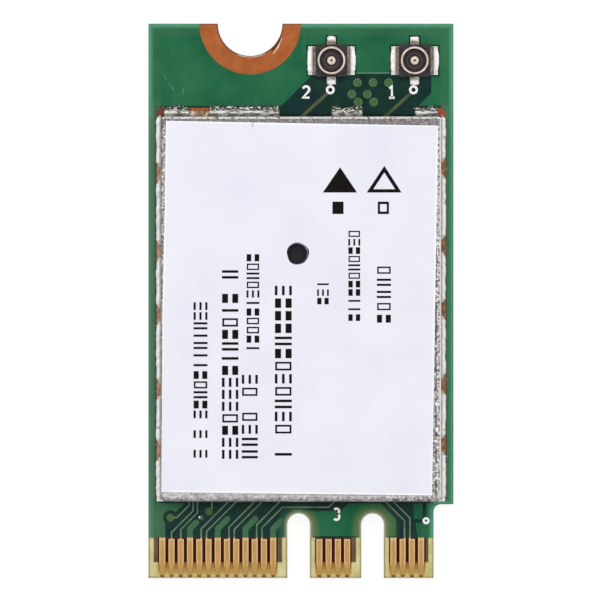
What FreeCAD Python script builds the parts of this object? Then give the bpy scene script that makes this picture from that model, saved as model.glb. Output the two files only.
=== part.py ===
import FreeCAD, Part
import os

# A narrow plug-in wireless card, in millimetres. The origin lies on the contacts' centre line, at the
# leading edge and on the underside. +Y runs to the screw end and +Z out of the component side.

# Contacts and key slots of the leading edge
CONTACT_PITCH = 0.5
POSITION_COUNT = 75             # positions of a full-width socket, whose middle is the centre line
TAB_NUMBERS_TOP = ((1, 7), (17, 23), (33, 57))
TAB_NUMBERS_BOTTOM = ((2, 6), (16, 22), (32, 56))
KEYED_NUMBERS = ((8, 15), (24, 31))
KEY_WIDTH = 1.22
KEY_DEPTH = 3.5
FINGER_WIDTH = 0.32
FINGER_TIP_WIDTH = 0.2
FINGER_TAPER = 0.73             # tip to full width
FINGER_LENGTH = 2.0
NECK_LENGTH = 0.08              # bare trace between a finger and the mask
EDGE_BEVEL = 0.12               # length of the bevel under and over the leading edge
EDGE_BEVEL_DEPTH = 0.1

# Board outline
BOARD_LENGTH = 30.0
LEFT_MARGIN = 0.75              # last contact to the left edge
TAB_MARGIN = 0.675              # first contact to the tab's right side
STEP_WIDTH = 1.075              # tab's right side to the board's right edge
STEP_PAST_KEY = 0.5
STEP_FILLET = 0.4
SCREW_SEAT_R = 1.75
SCREW_PAD_R = 2.75

# Layers
LAMINATE_THICKNESS = 0.7
COPPER_THICKNESS = 0.035
MASK_THICKNESS = 0.02
COATED_RISE = 0.03              # coated copper above the bare mask
MASK_PULLBACK = 0.05
POUR_INSET = 0.17               # board edge to ground copper
POUR_CLEARANCE = 0.09           # ground copper to lands
TRACE_WIDTH = 0.08
TRACE_SPACE = 0.2
VIA_R = 0.24
SMALL_VIA_R = 0.2
TEST_VIA_R = 0.14

# Shield can
CAN_SIDE_MARGIN = 0.67
CAN_PAST_STEP = 0.15
CAN_END_MARGIN = 5.03
CAN_HEIGHT = 1.25
CAN_SHEET = 0.15
CAN_BEND_R = 0.3
FRONT_RELIEF = 0.23             # cut corners of the can
END_RELIEF = 0.13
BARE_CORNER = 0.17              # can's end corners to the solder beside them
FOOT_NOTCH_HEIGHT = 0.2
FOOT_NOTCH_LENGTH = 0.72
SIDE_NOTCHES = (2.9, 6.2, 10.25, 13.7, 17.9)   # from the can's front
NOTCH_STAGGER = 0.15            # left side's notches forward, right side's back
END_NOTCH = 2.08                # from the can's left wall
END_NOTCH_LENGTH = 1.06
FRONT_FOOT = 0.95
PAD_INSIDE = 0.3
PAD_OUT_SIDE = 0.22
PAD_OUT_END = 0.48
SOLDER_HEIGHT = 0.32
POOL_HEIGHT = 0.1               # solder that fills the can's open front corners
SOLDER_HOLLOW = 0.1             # how far a bead's face curves in, as a share of its chord
VENT_R = 0.55
VENT_FROM_LEFT = 7.36
VENT_FROM_END = 7.42

# Label
LABEL_MARGIN_SIDE = 0.33
LABEL_MARGIN_END = 0.36
LABEL_THICKNESS = 0.08
LABEL_SKEW = 0.7                # degrees, clockwise from above
LABEL_HOLE_R = 0.61
LABEL_HOLE_SHIFT = 0.06

# Antenna jacks
JACK_RIGHT_MARGIN = 2.1
JACK_SPACING = 4.5
JACK_END_MARGIN = 2.0
JACK_HEIGHT = 0.6
BASE_WIDTH = 1.7
BASE_DEPTH = 1.74
BASE_HEIGHT = 0.3
BASE_FLOOR = 0.22               # insulator's height inside the ring
RING_R = 0.75
RING_WALL = 0.1
RING_GROOVE = 0.03
RING_COLLAR = 0.04              # wider foot of the ring, held in the moulding
FLANGE_LIFT = 0.14
SHELL_SHEET = 0.1
LEG_LENGTH = 1.5
END_LEG_LENGTH = 0.42
FOOT_REACH = 0.06
PIN_R = 0.22
PIN_HEIGHT = 0.5
PIN_DIMPLE_R = 0.07
TAIL_WIDTH = 0.44
LAND_PAST_FOOT = 0.25
LAND_WIDER = 0.02
RF_WIDTH = 0.18
RF_STRAIGHT = 0.3
RF_SHIFT = 1.6                  # sideways run of an antenna trace
WINDOW_SHIFT = 1.4              # jack to the middle of its gap in the end lands
WINDOW_WIDTH = 2.82
KEEPOUT_ABOVE = 0.7             # jack centre to the top of the bare field
KEEPOUT_RIGHT = 0.9
KEEPOUT_CORNER = 0.8
VIA_PITCH = 0.84
VIA_ROW_COUNTS = (3, 2, 2)
VIA_ROW_RISES = (-1.19, -1.82, -2.24)          # from the jacks' middle
VIA_ROW_STARTS = (-0.84, -1.15, -0.8)          # from midway between the jacks

# Routes from the contacts: how far above the mask's edge a trace turns
PAIR_SHIFT = 0.105
PAIR_NUMBERS_RIGHT = (49, 43)
PAIR_TURNS_RIGHT = ((0.47, 0.33), (0.55, 0.44))
SPLIT_PAIR_NUMBER = 37
SPLIT_PAIR_TURNS = (0.69, 0.53)
PAIR_NUMBER_LEFT = 5
PAIR_TURNS_LEFT = (0.91, 1.05)
SINGLE_NUMBERS = (55, 53)
SINGLE_TURNS = (0.28, 0.44)
SINGLE_RUNS = (1.17, 0.9)
GROUND_NUMBERS = (51, 45, 39, 33)
STUB_RISE = 0.48
STUB_RUNS = (0.34, 0.53, 0.53, 0.4)
SLOT_TO_TRACE = 0.34
PATCH_RISE = 0.8                # ground patches at the first contact
PATCH_WIDTH = 0.48
CROSSING_LENGTH = 2.5
CROSSING_CLEAR = 1.65           # key slot to the end of the bare strip beside the crossing trace
LOOSE_VIA = (-4.31, 1.08)       # x, and height above the mask's edge
LOOSE_RUN = 0.34                # level run of the loose via's trace, from its centre
TEST_VIA = (-2.65, 1.07)
FEED_VIA = (-2.23, 1.42)
FEED_RUN = 0.17                 # sideways run of the feed via's trace

# Parts inside the can
CHIP_SIDE = 7.0
CHIP_HEIGHT = 0.8
CHIP_DOT_R = 0.3
CHIP_DOT_DEPTH = 0.05
LEADS_PER_SIDE = 10
LEAD_PITCH = 0.5
LEAD_WIDTH = 0.25
LEAD_LENGTH = 0.4
LEAD_HEIGHT = 0.05
CHIP_PAD_SIDE = 4.5
PASSIVE_LENGTH = 1.0
PASSIVE_WIDTH = 0.5
CAPACITOR_HEIGHT = 0.5
RESISTOR_HEIGHT = 0.35
END_CAP = 0.22
RING_GAP = 0.5                  # chip to the capacitors around it
RING_PITCH = 1.8
RESISTOR_COUNT = 6
RESISTOR_PITCH = 1.6
PART_GAP = 0.35
CRYSTAL = (1.6, 2.0, 0.5)
INDUCTOR = (1.6, 2.0, 0.95)
INDUCTOR_SPACING = 3.0
FLANK_GAP = 0.4                 # capacitors to the crystal and the inductors beside them
DIPLEXER = (0.8, 1.6, 0.6)
SWITCH = (1.6, 1.6, 0.55)
MODULE = (2.5, 2.5, 0.7)
CORNER_LAND = 0.4

# Heights of the layers
Z_BACK = MASK_THICKNESS + COATED_RISE
Z_FACE = Z_BACK + LAMINATE_THICKNESS
Z_MASK = Z_FACE + MASK_THICKNESS
Z_COPPER = Z_FACE + COPPER_THICKNESS
Z_SEAT = Z_MASK + COATED_RISE
Z_CAN = Z_COPPER + CAN_HEIGHT
OVER = 1.0                      # how far a cutter stands past what it cuts


def contact_x(position):
    """X of a contact position, counted from the right."""
    return ((POSITION_COUNT + 1) / 2 - position) * CONTACT_PITCH / 2


LEFT = contact_x(TAB_NUMBERS_TOP[-1][1]) - LEFT_MARGIN
TAB_RIGHT = contact_x(TAB_NUMBERS_TOP[0][0]) + TAB_MARGIN
RIGHT = TAB_RIGHT + STEP_WIDTH
STEP_Y = KEY_DEPTH + STEP_PAST_KEY
KEY_X = [(contact_x(first) + contact_x(last)) / 2 for first, last in KEYED_NUMBERS]
MASK_EDGE = EDGE_BEVEL + FINGER_LENGTH + NECK_LENGTH
CAN_LEFT = LEFT + CAN_SIDE_MARGIN
CAN_RIGHT = RIGHT - CAN_SIDE_MARGIN
CAN_FRONT = STEP_Y + CAN_PAST_STEP
CAN_END = BOARD_LENGTH - CAN_END_MARGIN
CAN_MID = (CAN_LEFT + CAN_RIGHT) / 2
JACK_Y = BOARD_LENGTH - JACK_END_MARGIN
JACK_X = [RIGHT - JACK_RIGHT_MARGIN - i * JACK_SPACING for i in range(2)]
TRACE_END = CAN_FRONT + CAN_SHEET + PAD_INSIDE
DIPLEXER_Y = CAN_END - CAN_SHEET - PART_GAP - DIPLEXER[1] / 2
PACKAGE_TOP = DIPLEXER_Y - DIPLEXER[1] / 2 - PART_GAP
CHIP_RING = CHIP_SIDE / 2 + RING_GAP + PASSIVE_WIDTH / 2
CHIP_FLANK = CHIP_RING + PASSIVE_WIDTH / 2 + FLANK_GAP
CHIP_Y = PACKAGE_TOP - MODULE[1] - PART_GAP - PASSIVE_WIDTH / 2 - CHIP_RING


def box(x0, x1, y0, y1, z0, z1):
    return Part.makeBox(x1 - x0, y1 - y0, z1 - z0, FreeCAD.Vector(x0, y0, z0))


def block(x, y, size, z0):
    """A box of size (x, y, z) centred over a point."""
    return box(x - size[0] / 2, x + size[0] / 2, y - size[1] / 2, y + size[1] / 2, z0, z0 + size[2])


def disc(x, y, r, z0, z1):
    return Part.makeCylinder(r, z1 - z0, FreeCAD.Vector(x, y, z0))


def prism(points, z0, z1):
    """A plan outline raised from z0 to z1."""
    corners = [FreeCAD.Vector(x, y, z0) for x, y in points]
    face = Part.Face(Part.makePolygon(corners + corners[:1]))
    return face.extrude(FreeCAD.Vector(0, 0, z1 - z0))


def ribbon(points, width, z0, z1):
    """A trace of one width along straight runs with mitred corners."""
    steps = [(FreeCAD.Vector(*b) - FreeCAD.Vector(*a)).normalize() for a, b in zip(points, points[1:])]
    left, right = [], []
    for i, (x, y) in enumerate(points):
        before = steps[max(i - 1, 0)]
        after = steps[min(i, len(steps) - 1)]
        across = FreeCAD.Vector(-before.y - after.y, before.x + after.x).normalize()
        reach = width / 2 / (across.x * -after.y + across.y * after.x)
        left.append((x + across.x * reach, y + across.y * reach))
        right.append((x - across.x * reach, y - across.y * reach))
    return prism(left + right[::-1], z0, z1)


def revolve(profile, x, y, degrees=360.0):
    """Turn a closed (radius, z) profile about the upright axis at x, y."""
    corners = [FreeCAD.Vector(x + r, y, z) for r, z in profile]
    face = Part.Face(Part.makePolygon(corners + corners[:1]))
    return face.revolve(FreeCAD.Vector(x, y, 0), FreeCAD.Vector(0, 0, 1), degrees)


def upright_edges(solid, x, y):
    """The upright edges of a solid at one plan point."""
    near = 1e-6
    return [e for e in solid.Edges
            if all(abs(v.X - x) < near and abs(v.Y - y) < near for v in e.Vertexes)]


def key_cutter(x, grow, z0, z1):
    half = KEY_WIDTH / 2 + grow
    tip = KEY_DEPTH - KEY_WIDTH / 2
    return box(x - half, x + half, -OVER, tip, z0, z1).fuse(disc(x, tip, half, z0, z1))


def board_sheet(inset, seat_r, z0, z1):
    """The board's outline drawn in by inset, with a screw seat of radius seat_r, between two heights."""
    sheet = box(LEFT + inset, RIGHT - inset, inset, BOARD_LENGTH - inset, z0, z1)
    corner = (TAB_RIGHT - inset, STEP_Y + inset)
    step = box(corner[0], RIGHT + OVER, -OVER, corner[1], z0 - OVER, z1 + OVER)
    step = step.makeFillet(STEP_FILLET + inset, upright_edges(step, *corner))
    seat = disc(0, BOARD_LENGTH, seat_r, z0 - OVER, z1 + OVER)
    keys = [key_cutter(x, inset, z0 - OVER, z1 + OVER) for x in KEY_X]
    return sheet.cut([step, seat] + keys)


def laminate():
    sheet = board_sheet(0, SCREW_SEAT_R + COPPER_THICKNESS, Z_BACK, Z_FACE)
    bevels = []
    for face, inward in ((Z_FACE, -1), (Z_BACK, 1)):
        nose = [FreeCAD.Vector(LEFT - OVER, y, z) for y, z in (
            (0, face + inward * EDGE_BEVEL_DEPTH), (EDGE_BEVEL, face), (0, face))]
        side = Part.Face(Part.makePolygon(nose + nose[:1]))
        bevels.append(side.extrude(FreeCAD.Vector(RIGHT - LEFT + 2 * OVER, 0, 0)))
    return sheet.cut(bevels)


def numbers_of(tabs):
    return [number for first, last in tabs for number in range(first, last + 1, 2)]


def finger(number, z0, z1):
    """One contact: a tapered tip, then full width."""
    x = contact_x(number)
    tip = FINGER_TIP_WIDTH / 2
    half = FINGER_WIDTH / 2
    shoulder = EDGE_BEVEL + FINGER_TAPER
    top = EDGE_BEVEL + FINGER_LENGTH
    return prism([(x - tip, EDGE_BEVEL), (x + tip, EDGE_BEVEL), (x + half, shoulder), (x + half, top),
                  (x - half, top), (x - half, shoulder)], z0, z1)


def neck(x, width, z0, z1):
    """The bare copper that joins a finger to its coated trace."""
    return box(x - width / 2, x + width / 2, EDGE_BEVEL + FINGER_LENGTH - NECK_LENGTH, MASK_EDGE, z0, z1)


def signal_necks():
    """X of the trace that leaves each signal contact."""
    necks = {number: contact_x(number) for number in SINGLE_NUMBERS}
    for first in PAIR_NUMBERS_RIGHT + (SPLIT_PAIR_NUMBER, PAIR_NUMBER_LEFT):
        necks[first] = contact_x(first) + PAIR_SHIFT
        necks[first - 2] = contact_x(first - 2) - PAIR_SHIFT
    return necks


def contacts_top():
    necks = signal_necks()
    grounds = GROUND_NUMBERS + (TAB_NUMBERS_TOP[-1][1],) + TAB_NUMBERS_TOP[0]
    fingers = []
    for number in numbers_of(TAB_NUMBERS_TOP):
        one = finger(number, Z_FACE, Z_COPPER)
        if number in necks:
            one = one.fuse(neck(necks[number], TRACE_WIDTH, Z_FACE, Z_COPPER)).removeSplitter()
        elif number in grounds:
            one = one.fuse(neck(contact_x(number), FINGER_WIDTH, Z_FACE, Z_COPPER)).removeSplitter()
        fingers += one.Solids
    return fingers


def contacts_bottom():
    return [finger(number, Z_BACK - COPPER_THICKNESS, Z_BACK) for number in numbers_of(TAB_NUMBERS_BOTTOM)]


def screw_pad():
    """Land, plated wall and back land of the half-round screw seat, as one piece of copper."""
    wall = SCREW_SEAT_R + COPPER_THICKNESS
    under = Z_BACK - COPPER_THICKNESS
    profile = [(SCREW_SEAT_R, under), (SCREW_PAD_R, under), (SCREW_PAD_R, Z_BACK), (wall, Z_BACK),
               (wall, Z_FACE), (SCREW_PAD_R, Z_FACE), (SCREW_PAD_R, Z_COPPER), (SCREW_SEAT_R, Z_COPPER)]
    return revolve(profile, 0, BOARD_LENGTH, -180.0)


def end_windows():
    """Gaps in the end lands where the antenna traces pass, from left to right."""
    middles = [x - WINDOW_SHIFT for x in reversed(JACK_X)]
    return [(x - WINDOW_WIDTH / 2, x + WINDOW_WIDTH / 2) for x in middles]


def end_runs():
    """Stretches of the can's end wall that stand on lands."""
    edges = [CAN_LEFT] + [x for window in end_windows() for x in window] + [CAN_RIGHT]
    return list(zip(edges[::2], edges[1::2]))


def shield_pads():
    low, high = CAN_LEFT - PAD_OUT_SIDE, CAN_RIGHT + PAD_OUT_SIDE
    end = CAN_END + PAD_OUT_END
    runs = end_runs()
    inner_end = CAN_END - PAD_INSIDE
    inner_front = CAN_FRONT + PAD_INSIDE
    left = box(low, CAN_LEFT + PAD_INSIDE, CAN_FRONT, CAN_END, Z_FACE, Z_COPPER).fuse([
        box(low, runs[0][1], inner_end, end, Z_FACE, Z_COPPER),
        box(low, CAN_LEFT + FRONT_FOOT, CAN_FRONT, inner_front, Z_FACE, Z_COPPER)])
    middle = box(*runs[1], inner_end, end, Z_FACE, Z_COPPER)
    right = box(CAN_RIGHT - PAD_INSIDE, high, CAN_FRONT, CAN_END, Z_FACE, Z_COPPER).fuse([
        box(runs[2][0], high, inner_end, end, Z_FACE, Z_COPPER),
        box(CAN_RIGHT - FRONT_FOOT, high, CAN_FRONT, inner_front, Z_FACE, Z_COPPER)])
    return [left.removeSplitter(), middle, right.removeSplitter()]


def notch_spans(out):
    """Foot notches of one side wall, along Y."""
    shift = CAN_FRONT + out * NOTCH_STAGGER
    return [(shift + y - FOOT_NOTCH_LENGTH / 2, shift + y + FOOT_NOTCH_LENGTH / 2) for y in SIDE_NOTCHES]


def end_notch_span():
    middle = CAN_LEFT + END_NOTCH
    return (middle - END_NOTCH_LENGTH / 2, middle + END_NOTCH_LENGTH / 2)


def split_run(start, stop, gaps):
    """What is left of a run once its gaps are taken out."""
    edges = [start] + [edge for gap in gaps for edge in gap] + [stop]
    return list(zip(edges[::2], edges[1::2]))


def bead(length, reach, height):
    """A straight solder bead along +Y with its back on X = 0, reaching towards +X."""
    heel, toe, top = FreeCAD.Vector(0, 0, 0), FreeCAD.Vector(reach, 0, 0), FreeCAD.Vector(0, 0, height)
    hollow = FreeCAD.Vector(reach / 2 - height * SOLDER_HOLLOW, 0, height / 2 - reach * SOLDER_HOLLOW)
    edges = [Part.makeLine(heel, toe), Part.Arc(toe, hollow, top).toShape(), Part.makeLine(top, heel)]
    return Part.Face(Part.Wire(edges)).extrude(FreeCAD.Vector(0, length, 0))


def placed(solid, x, y, z, turn):
    """A copy turned about Z, then moved."""
    turned = FreeCAD.Rotation(FreeCAD.Vector(0, 0, 1), turn)
    moved = solid.copy()
    moved.Placement = FreeCAD.Placement(FreeCAD.Vector(x, y, z), turned)
    return moved


def shield_solder():
    """Beads along the can's sides and end, and a pool in each open corner at its front."""
    beads = []
    ends = CAN_FRONT + FRONT_RELIEF, CAN_END - BARE_CORNER
    low, high = CAN_LEFT + BARE_CORNER, CAN_RIGHT - BARE_CORNER
    gaps = sorted(end_windows() + [end_notch_span()])
    for start, stop in split_run(low, high, gaps):
        one = bead(stop - start, PAD_OUT_END, SOLDER_HEIGHT)
        beads.append(placed(one, stop, CAN_END, Z_COPPER, 90))
    for x, out, turn in ((CAN_LEFT, -1, 180), (CAN_RIGHT, 1, 0)):
        for start, stop in split_run(*ends, notch_spans(out)):
            one = bead(stop - start, PAD_OUT_SIDE, SOLDER_HEIGHT)
            beads.append(placed(one, x, start if out > 0 else stop, Z_COPPER, turn))
        rim, inside = x + out * PAD_OUT_SIDE, x - out * FRONT_RELIEF
        beads.append(prism([(rim, CAN_FRONT), (inside, CAN_FRONT), (x, ends[0]), (rim, ends[0])],
                           Z_COPPER, Z_COPPER + POOL_HEIGHT))
    return beads


def top_edges(solid, z):
    return [e for e in solid.Edges if all(abs(v.Z - z) < 1e-6 for v in e.Vertexes)]


def vent_centre():
    return CAN_LEFT + VENT_FROM_LEFT, CAN_END - VENT_FROM_END


def shield_can():
    """One folded sheet: bent top edges, open corners, notched feet and a vent hole."""
    outer = box(CAN_LEFT, CAN_RIGHT, CAN_FRONT, CAN_END, Z_COPPER, Z_CAN)
    outer = outer.makeFillet(CAN_BEND_R, top_edges(outer, Z_CAN))
    roof = Z_CAN - CAN_SHEET
    inner = box(CAN_LEFT + CAN_SHEET, CAN_RIGHT - CAN_SHEET, CAN_FRONT + CAN_SHEET, CAN_END - CAN_SHEET,
                Z_COPPER - OVER, roof)
    if CAN_BEND_R > CAN_SHEET:
        inner = inner.makeFillet(CAN_BEND_R - CAN_SHEET, top_edges(inner, roof))
    cuts = [inner, disc(*vent_centre(), VENT_R, roof - OVER, Z_CAN + OVER)]
    for x, out_x in ((CAN_LEFT, -1), (CAN_RIGHT, 1)):
        for y, out_y, relief in ((CAN_FRONT, -1, FRONT_RELIEF), (CAN_END, 1, END_RELIEF)):
            reach = relief + OVER
            cuts.append(prism([(x + out_x * OVER, y + out_y * OVER), (x - out_x * reach, y + out_y * OVER),
                               (x + out_x * OVER, y - out_y * reach)], Z_COPPER - OVER, Z_CAN + OVER))
        for span in notch_spans(out_x):
            cuts.append(box(x - CAN_SHEET * 2, x + CAN_SHEET * 2, *span, Z_COPPER - OVER,
                            Z_COPPER + FOOT_NOTCH_HEIGHT))
    for span in end_windows() + [end_notch_span()]:
        cuts.append(box(*span, CAN_END - CAN_SHEET * 2, CAN_END + OVER, Z_COPPER - OVER,
                        Z_COPPER + FOOT_NOTCH_HEIGHT))
    cuts.append(box(CAN_LEFT + FRONT_FOOT, CAN_RIGHT - FRONT_FOOT,
                    CAN_FRONT - OVER, CAN_FRONT + CAN_SHEET * 2,
                    Z_COPPER - OVER, Z_COPPER + FOOT_NOTCH_HEIGHT))
    return outer.cut(cuts)


def label():
    """A film on the can's roof, a little askew, with a hole punched over the vent."""
    half_x = (CAN_RIGHT - CAN_LEFT) / 2 - LABEL_MARGIN_SIDE
    half_y = (CAN_END - CAN_FRONT) / 2 - LABEL_MARGIN_END
    film = box(-half_x, half_x, -half_y, half_y, 0, LABEL_THICKNESS)
    film = placed(film, CAN_MID, (CAN_FRONT + CAN_END) / 2, Z_CAN, -LABEL_SKEW)
    x, y = vent_centre()
    return film.cut(disc(x + LABEL_HOLE_SHIFT, y, LABEL_HOLE_R, Z_CAN - OVER, Z_CAN + OVER))


def jack_lands(x):
    """Plan boxes of one jack's lands: two sides, the far end, and the signal land."""
    side = BASE_WIDTH / 2
    end = BASE_DEPTH / 2
    past = SHELL_SHEET + FOOT_REACH + LAND_PAST_FOOT
    half_leg = LEG_LENGTH / 2 + LAND_WIDER
    half_end = END_LEG_LENGTH / 2 + LAND_WIDER
    half_tail = TAIL_WIDTH / 2 + LAND_WIDER
    return [(x - side - past, x - side, JACK_Y - half_leg, JACK_Y + half_leg),
            (x + side, x + side + past, JACK_Y - half_leg, JACK_Y + half_leg),
            (x - half_end, x + half_end, JACK_Y + end, JACK_Y + end + past),
            (x - half_tail, x + half_tail, JACK_Y - end - past, JACK_Y - end)]


def jack_pads():
    return [box(*land, Z_FACE, Z_SEAT) for x in JACK_X for land in jack_lands(x)]


def leg(length, back):
    """A leg of the jack's shell: from inside the base out to +X, down to the board and out to a foot."""
    lift = FLANGE_LIFT + SHELL_SHEET
    knee = back + SHELL_SHEET
    outline = [(0, FLANGE_LIFT), (back, FLANGE_LIFT), (back, 0), (knee + FOOT_REACH, 0),
               (knee + FOOT_REACH, SHELL_SHEET), (knee, SHELL_SHEET), (knee, lift), (0, lift)]
    corners = [FreeCAD.Vector(x, -length / 2, z) for x, z in outline]
    return Part.Face(Part.makePolygon(corners + corners[:1])).extrude(FreeCAD.Vector(0, length, 0))


def jack_shell(x):
    """Ground ring with its locking groove, and three legs folded down from its flange."""
    z0 = Z_SEAT + FLANGE_LIFT
    top = Z_SEAT + JACK_HEIGHT
    low = Z_SEAT + BASE_HEIGHT
    bore = RING_R - RING_WALL
    mid = (low + top) / 2
    rise = (top - low) / 4
    crown = RING_WALL / 4
    collar = RING_R + RING_COLLAR
    profile = [(bore, z0), (collar, z0), (collar, low), (RING_R, low), (RING_R, mid - rise),
               (RING_R - RING_GROOVE, mid - rise / 2), (RING_R - RING_GROOVE, mid), (RING_R, mid + rise / 2),
               (RING_R, top - crown), (RING_R - crown, top), (bore, top)]
    ring = revolve(profile, x, JACK_Y)
    side = leg(LEG_LENGTH, BASE_WIDTH / 2)
    end = leg(END_LEG_LENGTH, BASE_DEPTH / 2)
    legs = [placed(side, x, JACK_Y, Z_SEAT, 0), placed(side, x, JACK_Y, Z_SEAT, 180),
            placed(end, x, JACK_Y, Z_SEAT, 90)]
    clear = disc(x, JACK_Y, bore, Z_SEAT - OVER, top + OVER)
    return ring.fuse([one.cut(clear) for one in legs]).removeSplitter()


def jack_pin(x):
    """Centre contact with a dimpled crown, and the tail that carries the signal to the board."""
    top = Z_SEAT + PIN_HEIGHT
    crown = PIN_R / 2
    sheet = Z_SEAT + SHELL_SHEET
    profile = [(0, Z_SEAT), (PIN_R, Z_SEAT), (PIN_R, top - crown), (PIN_R - crown, top),
               (PIN_DIMPLE_R, top), (0, top - PIN_DIMPLE_R)]
    reach = BASE_DEPTH / 2 + SHELL_SHEET + FOOT_REACH
    tail = box(x - TAIL_WIDTH / 2, x + TAIL_WIDTH / 2, JACK_Y - reach, JACK_Y, Z_SEAT, sheet)
    return revolve(profile, x, JACK_Y).fuse(tail).removeSplitter()


def jack_base(x, shell, pin):
    """Moulded insulator around the shell's flange and the pin's foot, with a well inside the ring."""
    body = block(x, JACK_Y, (BASE_WIDTH, BASE_DEPTH, BASE_HEIGHT), Z_SEAT)
    well = disc(x, JACK_Y, RING_R - RING_WALL, Z_SEAT + BASE_FLOOR, Z_SEAT + BASE_HEIGHT + OVER)
    return body.cut([well, shell, pin])


def jack_solder():
    """Beads at the toes of the feet of both jacks."""
    toe_x = BASE_WIDTH / 2 + SHELL_SHEET + FOOT_REACH
    toe_y = BASE_DEPTH / 2 + SHELL_SHEET + FOOT_REACH
    side = bead(LEG_LENGTH, LAND_PAST_FOOT, SHELL_SHEET)
    end = bead(END_LEG_LENGTH, LAND_PAST_FOOT, SHELL_SHEET)
    tail = bead(TAIL_WIDTH, LAND_PAST_FOOT, SHELL_SHEET)
    beads = []
    for x in JACK_X:
        beads += [placed(side, x + toe_x, JACK_Y - LEG_LENGTH / 2, Z_SEAT, 0),
                  placed(side, x - toe_x, JACK_Y + LEG_LENGTH / 2, Z_SEAT, 180),
                  placed(end, x + END_LEG_LENGTH / 2, JACK_Y + toe_y, Z_SEAT, 90),
                  placed(tail, x - TAIL_WIDTH / 2, JACK_Y - toe_y, Z_SEAT, -90)]
    return beads


def passives():
    """Places of the two-ended parts: kind, x, y, plan size and height, with the ends along Y or along X."""
    tall = (PASSIVE_WIDTH, PASSIVE_LENGTH, CAPACITOR_HEIGHT)
    wide = (PASSIVE_LENGTH, PASSIVE_WIDTH, CAPACITOR_HEIGHT)
    places = []
    for step in (-1, 0, 1):
        along = step * RING_PITCH
        for side in (-1, 1):
            places.append(("capacitors", CAN_MID + side * CHIP_RING, CHIP_Y + along, tall, False))
            places.append(("capacitors", CAN_MID + along, CHIP_Y + side * CHIP_RING, wide, True))
    front = CAN_FRONT + CAN_SHEET + PAD_INSIDE + PART_GAP + PASSIVE_LENGTH / 2
    for i in range(RESISTOR_COUNT):
        x = CAN_MID + (i - (RESISTOR_COUNT - 1) / 2) * RESISTOR_PITCH
        places.append(("resistors", x, front, (PASSIVE_WIDTH, PASSIVE_LENGTH, RESISTOR_HEIGHT), False))
    beside = CAN_MID + CHIP_FLANK + INDUCTOR[0] / 2
    for side in (-1, 1):
        places.append(("power_inductors", beside, CHIP_Y + side * INDUCTOR_SPACING / 2, INDUCTOR, False))
    for x in JACK_X:
        places.append(("diplexers", x - RF_SHIFT, DIPLEXER_Y, DIPLEXER, False))
    return places


def end_blocks(x, y, size, along_x, height, z0):
    """The two metal ends of a chip part, or the lands under them."""
    reach = (size[0] if along_x else size[1]) / 2 - END_CAP / 2
    for side in (-1, 1):
        if along_x:
            yield block(x + side * reach, y, (END_CAP, size[1], height), z0)
        else:
            yield block(x, y + side * reach, (size[0], END_CAP, height), z0)


def passive_body(x, y, size, along_x):
    if along_x:
        return block(x, y, (size[0] - 2 * END_CAP, size[1], size[2]), Z_SEAT)
    return block(x, y, (size[0], size[1] - 2 * END_CAP, size[2]), Z_SEAT)


def packages():
    """Places of the small packages: node name, x, y and size."""
    left = CAN_MID - CHIP_FLANK - CRYSTAL[0] / 2
    right_entry, left_entry = [x - RF_SHIFT for x in JACK_X]
    return [("reference_crystal", left, CHIP_Y, CRYSTAL),
            ("antenna_switch", left_entry, PACKAGE_TOP - SWITCH[1] / 2, SWITCH),
            ("front_end_module", right_entry, PACKAGE_TOP - MODULE[1] / 2, MODULE)]


def corner_lands(x, y, size):
    for sx in (-1, 1):
        for sy in (-1, 1):
            cx = x + sx * (size[0] - CORNER_LAND) / 2
            cy = y + sy * (size[1] - CORNER_LAND) / 2
            yield block(cx, cy, (CORNER_LAND, CORNER_LAND, Z_SEAT - Z_FACE), Z_FACE)


def chip_leads():
    """The chip's leads on four sides and the pad under its middle, with their solder down to the board."""
    height = Z_SEAT + LEAD_HEIGHT - Z_FACE
    leads = [block(CAN_MID, CHIP_Y, (CHIP_PAD_SIDE, CHIP_PAD_SIDE, height), Z_FACE)]
    upright = (LEAD_LENGTH, LEAD_WIDTH, height)
    level = (LEAD_WIDTH, LEAD_LENGTH, height)
    row = (CHIP_SIDE - LEAD_LENGTH) / 2
    for i in range(LEADS_PER_SIDE):
        along = (i - (LEADS_PER_SIDE - 1) / 2) * LEAD_PITCH
        for side in (-1, 1):
            leads.append(block(CAN_MID + side * row, CHIP_Y + along, upright, Z_FACE))
            leads.append(block(CAN_MID + along, CHIP_Y + side * row, level, Z_FACE))
    return leads


def lead_openings():
    """Openings in the mask for the chip: one for each row of leads and one for the middle pad."""
    long_side = (LEADS_PER_SIDE - 1) * LEAD_PITCH + LEAD_WIDTH
    row = (CHIP_SIDE - LEAD_LENGTH) / 2
    openings = [block(CAN_MID, CHIP_Y, (CHIP_PAD_SIDE, CHIP_PAD_SIDE, OVER), Z_FACE)]
    for side in (-1, 1):
        openings.append(block(CAN_MID + side * row, CHIP_Y, (LEAD_LENGTH, long_side, OVER), Z_FACE))
        openings.append(block(CAN_MID, CHIP_Y + side * row, (long_side, LEAD_LENGTH, OVER), Z_FACE))
    return openings


def radio_chip():
    body = block(CAN_MID, CHIP_Y, (CHIP_SIDE, CHIP_SIDE, CHIP_HEIGHT), Z_SEAT + LEAD_HEIGHT)
    top = Z_SEAT + LEAD_HEIGHT + CHIP_HEIGHT
    corner = CHIP_SIDE / 2 - 3 * CHIP_DOT_R
    return body.cut(disc(CAN_MID - corner, CHIP_Y + corner, CHIP_DOT_R, top - CHIP_DOT_DEPTH, top + OVER))


def component_lands():
    lands = []
    for kind, x, y, size, along_x in passives():
        lands += end_blocks(x, y, size, along_x, Z_SEAT - Z_FACE, Z_FACE)
    for name, x, y, size in packages():
        lands += corner_lands(x, y, size)
    return lands


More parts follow.
